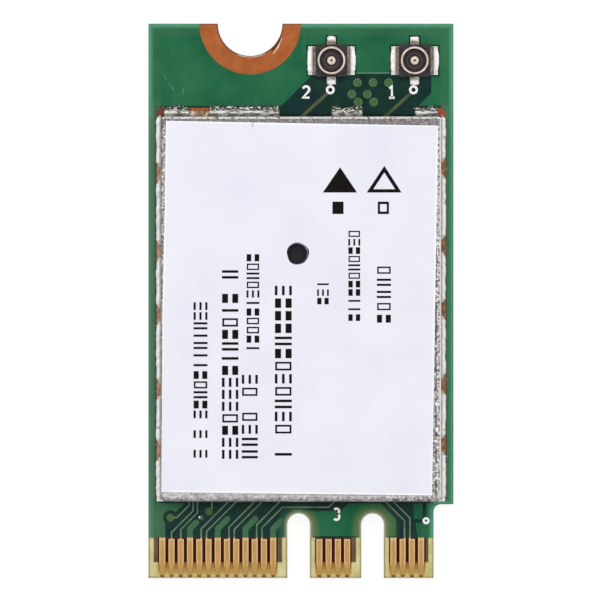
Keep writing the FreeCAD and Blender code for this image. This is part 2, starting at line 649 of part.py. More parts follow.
def solder_mask_top(lands):
    sheet = board_sheet(MASK_PULLBACK, SCREW_PAD_R, Z_FACE, Z_MASK)
    bare = box(LEFT - OVER, RIGHT + OVER, -OVER, MASK_EDGE, Z_FACE - OVER, Z_MASK + OVER)
    return sheet.cut([bare] + lands + lead_openings())


def solder_mask_bottom():
    sheet = board_sheet(MASK_PULLBACK, SCREW_PAD_R, 0, Z_BACK)
    bare = box(LEFT - OVER, RIGHT + OVER, -OVER, MASK_EDGE, -OVER, Z_BACK + OVER)
    return sheet.cut(bare)


def keepout():
    """The field without ground copper between the jacks and the can."""
    left = end_windows()[0][0]
    right = JACK_X[0] + KEEPOUT_RIGHT
    low = CAN_END + PAD_OUT_END
    high = JACK_Y - KEEPOUT_ABOVE
    corner = KEEPOUT_CORNER
    return prism([(left, CAN_END), (left, low), (left + high - low, high), (right, high),
                  (right, low + corner), (right - corner, low), (right - corner, CAN_END)],
                 Z_MASK - OVER, Z_SEAT + OVER)


def ground_pour_top():
    """Coated ground copper: the screw end, the side strips, and patches and stubs among the contacts."""
    sheet = board_sheet(POUR_INSET, SCREW_PAD_R, Z_MASK, Z_SEAT)
    side = PAD_OUT_SIDE + POUR_CLEARANCE
    front = CAN_FRONT - POUR_CLEARANCE
    cuts = [keepout(),
            box(CAN_LEFT - side, CAN_RIGHT + side, front, CAN_END + PAD_OUT_END + POUR_CLEARANCE, 0, Z_CAN),
            box(LEFT - OVER, RIGHT + OVER, -OVER, front, 0, Z_CAN)]
    for x in JACK_X:
        for x0, x1, y0, y1 in jack_lands(x):
            grow = POUR_CLEARANCE
            cuts.append(box(x0 - grow, x1 + grow, y0 - grow, y1 + grow, 0, Z_CAN))
    return sheet.cut(cuts).Solids + contact_pours(sheet, front) + ground_stubs()


def contact_pours(sheet, front):
    """Ground copper among the contacts, kept off the traces, and off the slots by the pour's outline."""
    low = MASK_EDGE + NECK_LENGTH
    half = FINGER_WIDTH / 2
    via_x, via_y = LOOSE_VIA[0], MASK_EDGE + LOOSE_VIA[1]
    last = contact_x(TAB_NUMBERS_TOP[-1][1]) + half
    bend = via_x + TRACE_SPACE
    rise = front - via_y - TRACE_SPACE
    corner = prism([(LEFT, MASK_EDGE), (last, MASK_EDGE), (last, via_y), (bend, front - rise),
                    (bend + rise, front), (LEFT, front)], Z_MASK, Z_SEAT)
    corner = corner.cut(disc(via_x, via_y, SMALL_VIA_R + TRACE_SPACE, 0, Z_CAN))
    crossing = KEY_DEPTH + SLOT_TO_TRACE - TRACE_SPACE
    turn = KEY_X[1] + KEY_WIDTH / 2 + CROSSING_CLEAR
    edge = contact_x(TAB_NUMBERS_TOP[0][1]) + half
    shoulder = MASK_EDGE + PAIR_TURNS_LEFT[0] + TRACE_WIDTH
    middle = prism([(KEY_X[1], low), (edge, low), (edge, shoulder), (edge - front + shoulder, front),
                    (turn + front - crossing, front), (turn, crossing), (KEY_X[1], crossing)],
                   Z_MASK, Z_SEAT)
    clear = contact_x(PAIR_NUMBER_LEFT - 2) - PAIR_SHIFT + TRACE_SPACE
    top = MASK_EDGE + PATCH_RISE
    inner = clear + PATCH_WIDTH
    upper = box(clear, inner, top + TRACE_SPACE, front, Z_MASK, Z_SEAT)
    patch = prism([(clear + TRACE_SPACE, MASK_EDGE), (TAB_RIGHT, MASK_EDGE), (TAB_RIGHT, front),
                   (inner + TRACE_SPACE, front), (inner + TRACE_SPACE, top), (clear + TRACE_SPACE / 2, top)],
                  Z_MASK, Z_SEAT)
    return [solid for pour in (corner, middle, upper, patch) for solid in pour.common(sheet).Solids]


def ground_stubs():
    """Full-width coated runs from the ground contacts, each to a round end."""
    stubs = []
    for number, run in zip(GROUND_NUMBERS, STUB_RUNS):
        x, y = contact_x(number), MASK_EDGE + STUB_RISE
        end = (x + run, y + run)
        stub = ribbon([(x, MASK_EDGE), (x, y), end], FINGER_WIDTH, Z_MASK, Z_SEAT)
        stubs.append(stub.fuse(disc(*end, FINGER_WIDTH / 2, Z_MASK, Z_SEAT)).removeSplitter())
    return stubs


def signal_traces_top():
    """Coated traces: singles and pairs of the contacts, and the two antenna lines."""
    routes = []
    loose_y = MASK_EDGE + LOOSE_VIA[1]
    bend = LOOSE_VIA[0] + LOOSE_RUN
    rise = CAN_FRONT - loose_y - TRACE_SPACE
    routes.append([(LOOSE_VIA[0] + SMALL_VIA_R, loose_y), (bend, loose_y), (bend + rise, loose_y + rise),
                   (bend + rise, TRACE_END)])
    feed_x, feed_y = FEED_VIA[0], MASK_EDGE + FEED_VIA[1]
    rim = SMALL_VIA_R * 0.5 ** 0.5
    routes.append([(feed_x + rim, feed_y + rim), (feed_x + FEED_RUN, feed_y + FEED_RUN),
                   (feed_x + FEED_RUN, TRACE_END)])
    for number, turn, run in zip(SINGLE_NUMBERS, SINGLE_TURNS, SINGLE_RUNS):
        x, y = contact_x(number), MASK_EDGE + turn
        routes.append([(x, MASK_EDGE), (x, y), (x + run, y + run), (x + run, TRACE_END)])
    leaning = [(first, turns, 1) for first, turns in zip(PAIR_NUMBERS_RIGHT, PAIR_TURNS_RIGHT)]
    leaning.append((PAIR_NUMBER_LEFT, PAIR_TURNS_LEFT, -1))
    for first, turns, lean in leaning:
        for number, shift, turn in zip((first, first - 2), (PAIR_SHIFT, -PAIR_SHIFT), turns):
            x, y = contact_x(number) + shift, MASK_EDGE + turn
            routes.append([(x, MASK_EDGE), (x, y), (x + lean * (TRACE_END - y), TRACE_END)])
    x, y = contact_x(SPLIT_PAIR_NUMBER) + PAIR_SHIFT, MASK_EDGE + SPLIT_PAIR_TURNS[0]
    routes.append([(x, MASK_EDGE), (x, y), (x + TRACE_END - y, TRACE_END)])
    x, y = contact_x(SPLIT_PAIR_NUMBER - 2) - PAIR_SHIFT, MASK_EDGE + SPLIT_PAIR_TURNS[1]
    level = KEY_DEPTH + SLOT_TO_TRACE
    across = x + level - y + CROSSING_LENGTH
    routes.append([(x, MASK_EDGE), (x, y), (x + level - y, level), (across, level),
                   (across + TRACE_END - level, TRACE_END)])
    traces = [ribbon(route, TRACE_WIDTH, Z_MASK, Z_SEAT) for route in routes]
    for x in JACK_X:
        start = jack_lands(x)[-1][2]
        entry = x - RF_SHIFT
        diplexer_top = DIPLEXER_Y + DIPLEXER[1] / 2
        traces.append(ribbon([(x, start), (x, start - RF_STRAIGHT), (entry, CAN_END), (entry, diplexer_top)],
                             RF_WIDTH, Z_MASK, Z_SEAT))
    return traces


def tented_vias_top():
    """Coated via caps: three rows between the antenna traces, and single ones near the contacts."""
    middle = sum(JACK_X) / 2
    vias = []
    for rise, start, count in zip(VIA_ROW_RISES, VIA_ROW_STARTS, VIA_ROW_COUNTS):
        for i in range(count):
            vias.append(disc(middle + start + i * VIA_PITCH, JACK_Y + rise, VIA_R, Z_MASK, Z_SEAT))
    for (x, rise), r in ((LOOSE_VIA, SMALL_VIA_R), (TEST_VIA, TEST_VIA_R), (FEED_VIA, SMALL_VIA_R)):
        vias.append(disc(x, MASK_EDGE + rise, r, Z_MASK, Z_SEAT))
    return vias


def all_nodes():
    nodes = {"laminate": [laminate()], "contacts_top": contacts_top(), "contacts_bottom": contacts_bottom(),
             "screw_pad": [screw_pad()], "shield_pads": shield_pads(), "shield_solder": shield_solder(),
             "shield_can": [shield_can()], "label": [label()], "jack_pads": jack_pads(),
             "jack_solder": jack_solder(), "component_lands": component_lands()}
    for number, x in enumerate(JACK_X, 1):
        shell, pin = jack_shell(x), jack_pin(x)
        nodes["jack_%d_shell" % number] = [shell]
        nodes["jack_%d_pin" % number] = [pin]
        nodes["jack_%d_base" % number] = jack_base(x, shell, pin).Solids
    lands = nodes["shield_pads"] + nodes["jack_pads"] + nodes["component_lands"]
    nodes["solder_mask_top"] = [solder_mask_top(lands)]
    nodes["solder_mask_bottom"] = [solder_mask_bottom()]
    nodes["ground_pour_top"] = ground_pour_top()
    nodes["signal_traces_top"] = signal_traces_top()
    nodes["tented_vias_top"] = tented_vias_top()
    nodes["radio_chip"] = [radio_chip()]
    nodes["chip_leads"] = chip_leads()
    nodes["part_ends"] = []
    for kind, x, y, size, along_x in passives():
        nodes.setdefault(kind, []).append(passive_body(x, y, size, along_x))
        nodes["part_ends"] += end_blocks(x, y, size, along_x, size[2], Z_SEAT)
    for name, x, y, size in packages():
        nodes[name] = [block(x, y, size, Z_SEAT)]
    return nodes


def main():
    os.makedirs("parts", exist_ok=True)
    for name, shapes in all_nodes().items():
        solids = [solid for shape in shapes for solid in shape.Solids]
        whole = solids[0] if len(solids) == 1 else Part.makeCompound(solids)
        whole.exportStep("parts/%s.step" % name)


main()
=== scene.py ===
"""A narrow plug-in wireless card, seen from straight above on a white table."""
import math

import bmesh
import bpy
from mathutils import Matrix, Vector


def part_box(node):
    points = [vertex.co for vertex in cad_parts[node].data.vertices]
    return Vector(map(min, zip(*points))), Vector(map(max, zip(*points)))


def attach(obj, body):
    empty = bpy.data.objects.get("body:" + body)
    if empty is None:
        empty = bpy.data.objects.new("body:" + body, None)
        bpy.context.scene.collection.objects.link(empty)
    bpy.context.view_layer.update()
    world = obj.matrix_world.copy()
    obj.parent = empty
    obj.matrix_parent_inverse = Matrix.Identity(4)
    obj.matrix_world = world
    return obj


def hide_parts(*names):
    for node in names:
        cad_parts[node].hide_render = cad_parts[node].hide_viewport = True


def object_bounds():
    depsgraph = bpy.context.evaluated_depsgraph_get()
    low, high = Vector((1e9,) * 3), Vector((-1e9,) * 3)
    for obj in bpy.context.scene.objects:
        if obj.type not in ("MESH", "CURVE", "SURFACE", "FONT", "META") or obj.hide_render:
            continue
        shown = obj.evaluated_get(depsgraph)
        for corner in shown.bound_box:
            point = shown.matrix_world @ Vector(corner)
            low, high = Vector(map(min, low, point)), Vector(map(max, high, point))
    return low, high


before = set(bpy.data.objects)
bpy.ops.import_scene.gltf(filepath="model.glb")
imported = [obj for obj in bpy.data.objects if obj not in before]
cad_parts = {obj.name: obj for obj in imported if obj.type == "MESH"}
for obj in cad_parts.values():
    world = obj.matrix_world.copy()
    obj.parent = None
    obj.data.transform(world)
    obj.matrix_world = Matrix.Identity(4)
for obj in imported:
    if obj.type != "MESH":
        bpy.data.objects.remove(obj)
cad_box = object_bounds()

# The frame is in metres. Sizes and places below are in millimetres, in the card's own frame.
MM = 0.001

# Board outline and contacts
KEY_X = (2.625, 6.625)
KEY_WIDTH = 1.22
KEY_DEPTH = 3.5
TAB_RIGHT = 9.925
STEP_Y = 4.0
MASK_EDGE = 2.2
PITCH = 0.5
TAB_SPANS = ((-4.75, 1.25), (3.75, 5.25), (7.75, 9.25))    # first and last contact of each tab
MIDDLE_TAB = (3.4, 5.6)           # the tab whose contacts end just short of the mask
FINGER_WIDTH = 0.32
PLANE_INSET = 0.28                # board edge to the inner copper that shows through the bare laminate
PLANE_FRONT = 0.84
BEVEL_LENGTH = 0.12
BEVEL_DEPTH = 0.1
BOARD_FACE = 0.75                 # heights of the laminate's face, the mask and the coated copper
MASK_TOP = 0.77
COAT_TOP = 0.8

# Plating stubs, cut off at the leading edge under each contact's tip
STUB_WIDTH = 0.2
STUB_LENGTH = 0.1
STUB_Y = 0.088
STUB_THICKNESS = 0.016
STUB_LEAST = (0.7, 0.55, 1.0)     # smallest and largest share of these sizes
STUB_MOST = (1.2, 1.0, 1.0)
STUB_SEED = 3

# Screw seat
SEAT_CENTRE = (0.0, 30.0)
SEAT_R = 1.75
BURR = ((1.24, 28.36), (1.5, 28.72), (1.72, 29.22))
BURR_WIDTHS = (0.04, 0.1, 0.03)   # at each of its points
BURR_RISE = 0.02

# Antenna jacks and vias
JACKS = ((8.9, 28.0), (4.4, 28.0))
JACK_REACH = 2.0                  # a jack's lands lie within this of its middle
VIAS = ((5.81, 26.81), (6.65, 26.81), (7.49, 26.81), (5.5, 26.18), (6.34, 26.18), (5.85, 25.76),
        (6.69, 25.76))
SMALL_VIAS = ((-4.31, 3.28), (-2.65, 3.27), (-2.23, 3.62))
VIA_R = 0.24
SPOT_CENTRE = (-2.74, 3.3)        # solder left in the test via
SPOT_R = 0.05
SPOT_SINK = 0.01
SPOT_RISE = 0.012
SPOT_STEPS = 16
SCRATCHES = (((-4.81, 27.43), (-4.03, 26.24)), ((-3.65, 26.56), (-3.58, 26.17)),
             ((10.56, 7.08), (10.96, 6.94)))
SCRATCH_WIDTH = 0.04
POUR_LINE = (5.65, 7.65, 27.3)    # the pour's edge between the jacks: first and last x, and y

# Solder at the can
POOL_HEIGHT = 0.1
END_ZONE = 0.1                    # a bead that starts this near the can's end belongs to that end
POOL_RINGS = ((1.0, 0.0), (0.94, 0.6), (0.75, 0.9), (0.4, 1.0))    # shares of the outline and of the height
BEAD_SPREAD = 1.3                 # beads run a little past their lands
BEAD_SHOULDER = (0.86, 0.78)      # shares of reach and height at which a bead's section turns
BEAD_STEP = 0.06
BEAD_WAVE = 2200.0                # swellings per metre, about
BEAD_WAVE_LIMITS = (0.35, 0.65)
BEAD_UNEVENNESS = 0.16
BEAD_TIP = 0.4                    # share of the section that is left at a bead's ends
SIDE_TAPER = 0.26                 # length of a bead's thinned ends, along the sides and across the end
END_TAPER = 0.06
CORNER_ZONE = 1.0                 # a bead within this of the can's corner runs on
CORNER_RUN = 0.28                 # how far the side beads run on past the can's end corners
FRONT_RUN = 0.18                  # and into the pools at its front corners
BALL_R = 0.048                    # stray balls along the end lands
BALL_STEP = 0.16
SIDE_BALL_R = 0.024               # and smaller, rarer ones along the sides
SIDE_BALL_STEP = 0.7
SIDE_BALL_GAP = 0.072             # between the lands and the line of these balls
BALL_CHANCE = 0.6
BALL_SIZES = (0.5, 1.1)           # smallest and largest share of the radius
BALL_SEED = 5

# Label: its outline clockwise from the far left corner, two points where the left edge bends, and the hole
LABEL_CORNERS = ((-4.54, 24.72), (10.15, 24.46), (9.825, 4.5), (-4.785, 4.68), (-4.715, 15.0), (-4.615, 19.1))
LABEL_SAG = 0.5                   # share of the can's bend that the film's edge follows
CAN_BEND_R = 0.3
LABEL_BORDER = 0.14               # whiter cut border
HOLE_CENTRE = (2.58, 17.56)
HOLE_R = 0.6
HOLE_WOBBLE = ((0.03, 3, 1.0), (0.02, 5, 0.0))     # share of the radius, waves round the hole, first angle
FILM_STEPS = 72                   # points round the film
INK = 0.005                       # thickness of print on the label
STROKE = 0.14
MARK_TALL = 0.9                   # a mark's size, in a row one millimetre high
MARK_WIDE = 0.5
MARK_INSET = 0.07                 # from the mark's cell to the middle of an open mark's stroke
MARK_STEPS = (-0.38, 0.0, 0.38)   # places of a mark's bars, blocks and posts
MARK_HALVES = (-0.28, 0.28)
MARK_POSTS = (-0.16, 0.16)
HALF_TALL = 0.36                  # share of the mark that each of its two blocks takes
MARK_PITCH = 0.62
MARK_CHANCE = 0.92
PRINT_SEED = 7
# Rows run up the label: x of a row's middle from the board's left edge, first and last y, height of its marks
PRINT_ROWS = ((2.83, 6.75, 14.72, 0.83), (4.43, 6.72, 16.43, 0.98), (5.49, 6.72, 10.77, 0.96),
              (5.66, 12.45, 17.33, 0.77), (7.3, 6.72, 15.56, 1.02), (9.44, 14.08, 15.9, 0.7),
              (11.13, 14.1, 18.62, 0.72), (12.73, 14.04, 16.66, 0.85))
ROW_SHIFT = -5.5                  # x of the board's left edge
SOLID_TRIANGLE = ((4.865, 22.215), (5.782, 20.852), (3.931, 20.852))
OPEN_TRIANGLE = ((7.255, 22.291), (8.183, 20.852), (6.3, 20.852))
TRIANGLE_STROKE = 0.19
SOLID_BLOCK = (4.45, 5.05, 19.69, 20.36)       # plain marks under the triangles: x and y limits
OPEN_BLOCK = (6.9, 7.5, 19.69, 20.36)
BLOCK_OPENING = 0.6               # share of the open block that is open
HAIR_CENTRE = (0.24, 24.5)        # curl of a stray hair on the film
HAIR_R = 0.13
HAIR_TURN = (110, 235)            # its first and last angle, in degrees
HAIR_WIDTH = 0.035

# Silk screen
SILK_RINGS = ((4.34, 26.42, 0.24), (8.84, 26.42, 0.24), (9.52, 3.11, 0.19))
SILK_NUMBERS = (("1", 7.67, 26.3), ("2", 3.03, 26.3), ("3", 4.67, 3.47))
SILK_HEIGHT = 0.67
SILK_STROKE = 0.125
SILK_TOP = 0.815
RING_STEPS = 40

# Places where finishes change: a share is 0 at a pair's first number and 1 at its second
BACK_TO_FACE = (0.3, 0.5)         # heights
WELL_FLOOR = (1.07, 1.04)
JACK_COLLAR = (1.06, 1.2)         # a span, which is 1 inside
JACK_RING_FOOT = (1.32, 1.24)
MIDDLE = (2.0, 3.0)               # places across the card: left half to right half
LEFT_HALF = (3.0, 2.0)
LEFT_TAB = (2.4, 1.9)
PAST_FIRST_SLOT = (2.2, 2.8)
PAST_SECOND_SLOT = (6.9, 7.2)
CALM_SHEET = (6.0, 8.5)
NEAR_CONTACTS = (4.4, 3.4)        # places along it
SLOT_ARCH = (2.7, 3.5)
CAN_BEGINS = (4.0, 4.5)
CAN_ENDS = (26.0, 25.0)
ANTENNA_LINES = (15.0, 16.0)
END_LANDS = (24.9, 25.0)
# END_CREST and CONTACT_CREST place painted highlights: along the end bead's crest and across the contacts
# near their tops.
END_CREST = (25.12, 25.29)        # spans, which are 1 inside
CONTACT_CREST = (2.0, 2.2)
END_WETTED = (25.31, 25.25)
END_SPECKS = (25.26, 25.33)
PAST_END_SOLDER = (25.7, 25.6)
SEAT_FRONT = (29.0, 28.6)
SEAT_SIDE = (29.4, 29.1)
BOARD_END = (29.93, 29.98)
SLOT_SIDE = 1.3                   # reach of the wider fade to the right of a slot
CLOTH_WAVE = 13.0                 # glass cloth in plan and its plies in height, in radians per millimetre
PLY_WAVE = 54.0
COAT = {"roughness": 0.34, "gloss": 0.1}       # of every green coat

# Tolerances: vertices that are one, in metres, and numbers that count as equal or as nothing
WELD = 1e-8
NEAR = 1e-6
NOTHING = 1e-9
MITRE_LIMIT = 0.6                 # keeps the corners of strokes from growing spikes

# Camera: straight above, in the photograph's frame
VIEW_CENTRE = (2.7, 15.05)
VIEW_WIDTH = 32.5                 # millimetres across the frame
VIEW_DISTANCE = 600.0
SENSOR = 36.0

# Table and light
TABLE_GAP = 0.01                  # keeps the table clear of the card's underside
TABLE_HALF = 400.0
TABLE_GREY = 0.24                 # how much light the table gives back to the card
TABLE_GLOW = 0.85                 # what the camera and reflections see in addition
DOME_STRENGTH = 0.71
DOME_HORIZON = (0.05, 0.62)       # height on the dome, and its brightness there
DOME_UPPER = (0.5, 1.0)
LAMP_SIZE = 250.0                 # below: each lamp's name, place and watts
LAMPS = (("softbox_left", (-150.0, 120.0, 230.0), 0.21), ("softbox_right", (160.0, 100.0, 220.0), 0.19))


def srgb(red, green, blue):
    """A screen colour from 0 to 255, as linear light."""
    def linear(value):
        value /= 255
        return value / 12.92 if value <= 0.04045 else ((value + 0.055) / 1.055) ** 2.4
    return linear(red), linear(green), linear(blue), 1.0


def grey(brightness):
    return brightness, brightness, brightness, 1.0


class Wiring:
    """Adds nodes to a tree. A socket given as a value is linked, anything else is set on the input itself."""

    def __init__(self, tree):
        self.tree = tree

    def add(self, kind, inputs=None, **settings):
        node = self.tree.nodes.new(kind)
        for name, value in settings.items():
            setattr(node, name, value)
        for key, value in (inputs or {}).items():
            self.feed(node.inputs[key], value)
        return node

    def feed(self, socket, value):
        if isinstance(value, bpy.types.NodeSocket):
            self.tree.links.new(value, socket)
        else:
            socket.default_value = value

    def math(self, operation, *values):
        return self.add("ShaderNodeMath", dict(enumerate(values)), operation=operation).outputs[0]

    def minus(self, value, less):
        return self.math("SUBTRACT", value, less)

    def both(self, *shares):
        """The product of several shares."""
        whole = shares[0]
        for share in shares[1:]:
            whole = self.math("MULTIPLY", whole, share)
        return whole

    def rise(self, value, low, high):
        """0 up to low, 1 from high on, smooth between. It falls where low is the larger."""
        node = self.add("ShaderNodeMapRange", {"Value": value, "From Min": low, "From Max": high},
                        interpolation_type="SMOOTHSTEP")
        return node.outputs["Result"]

    def from_to(self, share, start, end):
        """A value that goes from start to end as the share goes from 0 to 1."""
        return self.math("MULTIPLY_ADD", share, end - start, start)

    def hypotenuse(self, across, along):
        return self.math("SQRT", self.math("ADD", self.both(across, across), self.both(along, along)))

    def within(self, value, low, high, soft):
        """1 between low and high, fading over a soft margin inside them."""
        return self.both(self.rise(value, low, low + soft), self.rise(value, high, high - soft))

    def lowest(self, values):
        least = values[0]
        for value in values[1:]:
            least = self.math("MINIMUM", least, value)
        return least

    def highest(self, values):
        most = values[0]
        for value in values[1:]:
            most = self.math("MAXIMUM", most, value)
        return most


class Finish(Wiring):
    """A material on object coordinates, which it reads in millimetres."""

    def __init__(self, name, roughness, metallic=0.0, gloss=0.5):
        self.material = bpy.data.materials.new(name)
        self.material.use_nodes = True
        super().__init__(self.material.node_tree)
        self.shader = self.tree.nodes["Principled BSDF"]
        self.feed(self.shader.inputs["Roughness"], roughness)
        self.feed(self.shader.inputs["Metallic"], metallic)
        self.feed(self.shader.inputs["Specular IOR Level"], gloss)
        place = self.add("ShaderNodeTexCoord").outputs["Object"]
        scaled = self.add("ShaderNodeVectorMath", {0: place, "Scale": 1 / MM}, operation="SCALE")
        self.spot = scaled.outputs[0]
        self.x, self.y, self.z = self.add("ShaderNodeSeparateXYZ", {0: self.spot}).outputs

    def upward(self):
        """1 where the surface faces up, 0 on a wall, -1 where it faces down."""
        normal = self.add("ShaderNodeNewGeometry").outputs["Normal"]
        return self.add("ShaderNodeSeparateXYZ", {0: normal}).outputs[2]

    def stretched(self, x, y, z):
        """The place on the surface, scaled by these factors."""
        return self.add("ShaderNodeVectorMath", {0: self.spot, 1: (x, y, z)}, operation="MULTIPLY").outputs[0]

    def noise(self, scale, detail=3.0, spot=None, roughness=0.5):
        return self.add("ShaderNodeTexNoise", {"Vector": spot or self.spot, "Scale": scale, "Detail": detail,
                                               "Roughness": roughness}).outputs["Fac"]

    def shades(self, value, *stops):
        """A colour from a value, through (place, screen colour) stops."""
        node = self.add("ShaderNodeValToRGB", {"Fac": value})
        elements = node.color_ramp.elements
        while len(elements) < len(stops):
            elements.new(0.5)
        for element, (place, colour) in zip(elements, stops):
            element.position = place
            element.color = srgb(*colour)
        return node.outputs["Color"]

    def lay(self, base, over, *shares):
        """A colour laid over another where all the shares meet. Each is a socket or a screen colour."""
        node = self.add("ShaderNodeMix", data_type="RGBA")
        self.feed(node.inputs["Factor"], self.both(*shares))
        for place, colour in ((6, base), (7, over)):
            self.feed(node.inputs[place], srgb(*colour) if isinstance(colour, tuple) else colour)
        return node.outputs[2]

    def distance_to(self, x, y):
        """Plan distance to a point."""
        return self.hypotenuse(self.minus(self.x, x), self.minus(self.y, y))

    def nearest(self, points):
        """Plan distance to the nearest of several points."""
        return self.lowest([self.distance_to(*point[:2]) for point in points])

    def edge_distance(self):
        """Plan distances from the board's outer sides and from the key slots."""
        low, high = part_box("laminate")
        left, right, end = low[0] / MM, high[0] / MM, high[1] / MM
        past_step = self.rise(self.y, STEP_Y - 0.01, STEP_Y + 0.01)
        right_side = self.from_to(past_step, TAB_RIGHT, right)
        slots = []
        for x in KEY_X:
            tip = KEY_DEPTH - KEY_WIDTH / 2
            across = self.minus(self.x, x)
            past = self.math("MAXIMUM", self.minus(self.y, tip), 0.0)
            slots.append(self.minus(self.hypotenuse(across, past), KEY_WIDTH / 2))
        step = self.math("MAXIMUM", self.minus(TAB_RIGHT, self.x), self.minus(self.y, STEP_Y))
        sides = [self.minus(self.x, left), self.minus(right_side, self.x),
                 self.minus(end, self.y), step]
        return self.lowest(sides), self.lowest(slots)

    def slot_fade(self, colour, slot, thin):
        """A coat that thins towards the key slots, first to the colour given and then to pale resin."""
        above = self.rise(self.y, *SLOT_ARCH)
        arch = self.from_to(above, 0.85, 0.65)
        reach = self.from_to(self.rise(self.x, *PAST_SECOND_SLOT), 0.62, 0.92)
        colour = self.lay(colour, thin, self.rise(slot, reach, 0.22), arch)
        right_of = self.highest([self.within(self.x, x, x + SLOT_SIDE, 0.1) for x in KEY_X])
        rim = self.from_to(self.highest([above, right_of]), 0.23, 0.28)
        return self.lay(colour, (162, 164, 128), self.rise(slot, rim, 0.02), 0.8)

    def inside_box(self, node):
        """Plan distances inward from a node's left, right, front and far sides."""
        low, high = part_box(node)
        return [self.minus(self.x, low[0] / MM), self.minus(high[0] / MM, self.x),
                self.minus(self.y, low[1] / MM), self.minus(high[1] / MM, self.y)]

    def scratch(self, start, end, width):
        """1 along a straight scratch that thins out at its ends, 0 beside it."""
        start, run = Vector(start), Vector(end) - Vector(start)
        way = run.normalized()
        x, y = self.minus(self.x, start.x), self.minus(self.y, start.y)
        along = self.math("ADD", self.both(x, way.x), self.both(y, way.y))
        across = self.minus(self.both(x, way.y), self.both(y, way.x))
        return self.both(self.rise(self.math("ABSOLUTE", across), width, width / 4),
                         self.within(along, 0.0, run.length, run.length / 4))

    def relief(self, height, strength, distance):
        """Bump from a height that goes from 0 to 1, with its depth in millimetres."""
        node = self.add("ShaderNodeBump", {"Height": height, "Strength": strength, "Distance": distance * MM})
        self.feed(self.shader.inputs["Normal"], node.outputs["Normal"])

    def done(self, colour, **sockets):
        self.feed(self.shader.inputs["Base Color"], colour)
        for name, value in sockets.items():
            self.feed(self.shader.inputs[name.replace("_", " ")], value)
        return self.material


def speckled(name, scale, *stops, detail=3.0, bump=None, **settings):
    """A plain finish: one grain, shaded through its stops, and a bump (strength, depth) if it has one."""
    f = Finish(name, **settings)
    grain = f.noise(scale, detail=detail)
    if bump:
        f.relief(grain, *bump)
    return f.done(f.shades(grain, *stops))


def glass_epoxy():
    """Pale resin over woven glass, with the inner copper plane showing brown inside the tabs' borders."""
    f = Finish("glass_epoxy", roughness=0.45, gloss=0.06)
    outer, slot = f.edge_distance()
    edge = f.lowest([outer, slot])
    weave = f.both(*[f.math("SINE", f.both(way, CLOTH_WAVE)) for way in (f.x, f.y)])
    cloth = f.math("MULTIPLY_ADD", weave, 0.04, f.noise(1.3))
    pale = f.shades(cloth, (0.3, (192, 180, 118)), (0.5, (206, 198, 140)), (0.7, (218, 211, 158)))
    # Painted shade: the resin is darkened along the board's outer edges and the key slots.
    pale = f.lay(pale, (150, 134, 108), f.rise(edge, 0.14, 0.0))
    inside = f.rise(edge, PLANE_INSET - 0.03, PLANE_INSET + 0.03)
    far = f.rise(f.y, PLANE_FRONT - 0.02, PLANE_FRONT + 0.06)
    between = f.highest([f.both(f.rise(f.x, first - 0.28, first - 0.2), f.rise(f.x, last + 0.28, last + 0.2))
                         for first, last in TAB_SPANS])
    brown = f.shades(cloth, (0.3, (90, 70, 48)), (0.7, (114, 94, 70)))
    # Between the contacts the inner plane is a deeper brown: its own colour, deepened by painted shade from
    # the contacts on either side.
    plane = f.lay(brown, f.shades(cloth, (0.3, (50, 16, 0)), (0.7, (66, 22, 0))), between)
    gilded = f.shades(f.y, (0.1, (206, 192, 134)), (0.27, (186, 158, 96)), (0.6, (158, 124, 60)),
                      (0.84, (130, 96, 40)))
    colour = f.lay(pale, gilded, between)
    colour = f.lay(colour, plane, inside, far)
    face = f.rise(f.upward(), 0.5, 0.9)
    rim = f.lay((86, 132, 112), (180, 182, 162), f.rise(slot, 0.3, 0.1))
    colour = f.lay(colour, rim, face, f.rise(f.y, MASK_EDGE - 0.05, MASK_EDGE + 0.05))
    plies = f.math("SINE", f.math("MULTIPLY_ADD", f.z, PLY_WAVE, f.both(f.noise(1.0), 6.0)))
    cut = f.shades(f.both(f.math("ADD", plies, 1.0), 0.5), (0.1, (150, 132, 84)), (0.8, (190, 178, 124)))
    colour = f.lay(colour, cut, f.rise(f.math("ABSOLUTE", f.upward()), 0.4, 0.2))
    f.relief(cloth, 0.1, 0.02)
    return f.done(colour)


def bare_mask():
    """Dark green coat with no copper right under it, lighter in the strip along the board's edge."""
    f = Finish("bare_mask", **COAT)
    edge, slot = f.edge_distance()
    cloud = f.noise(1.4)
    dark = f.shades(cloud, (0.3, (10, 41, 37)), (0.7, (22, 58, 48)))
    left, right, front, far = f.inside_box("shield_can")
    dark = f.lay(dark, (52, 68, 54), f.rise(front, 0.0, -0.2), 0.15)
    beside = f.rise(f.lowest([left, right]), 0.0, -0.05)
    dark = f.lay(dark, (16, 46, 54), f.rise(f.noise(0.8), 0.46, 0.6), 0.5)
    # Painted shadow: a dark line along the foot of the can's end wall.
    dark = f.lay(dark, (12, 22, 18), f.within(far, -0.16, 0.1, 0.06), 0.8)
    # Beside the can the coat is olive. On the can's right side it is painted lighter to make up for the shade
    # the can casts there.
    dark = f.lay(dark, f.lay((78, 98, 74), (92, 118, 88), f.rise(right, 0.05, -0.05)), beside)
    bright = f.shades(cloud, (0.3, (72, 152, 112)), (0.7, (90, 166, 128)))
    dull = f.both(f.rise(left, 0.05, -0.05), f.rise(far, -0.4, 0.4))
    strip = f.lay(bright, f.shades(cloud, (0.3, (82, 132, 103)), (0.7, (95, 145, 114))), dull)
    colour = f.lay(dark, strip, f.rise(edge, 0.2, 0.12))
    colour = f.slot_fade(colour, slot, (54, 98, 70))
    shade = f.both(f.within(front, -0.12, 0.1, 0.06), f.rise(left, 1.6, 2.0), f.rise(right, 0.9, 1.2), 0.7)
    colour = f.lay(colour, (30, 38, 32), shade)
    f.relief(f.noise(9.0), 0.08, 0.01)
    return f.done(colour)


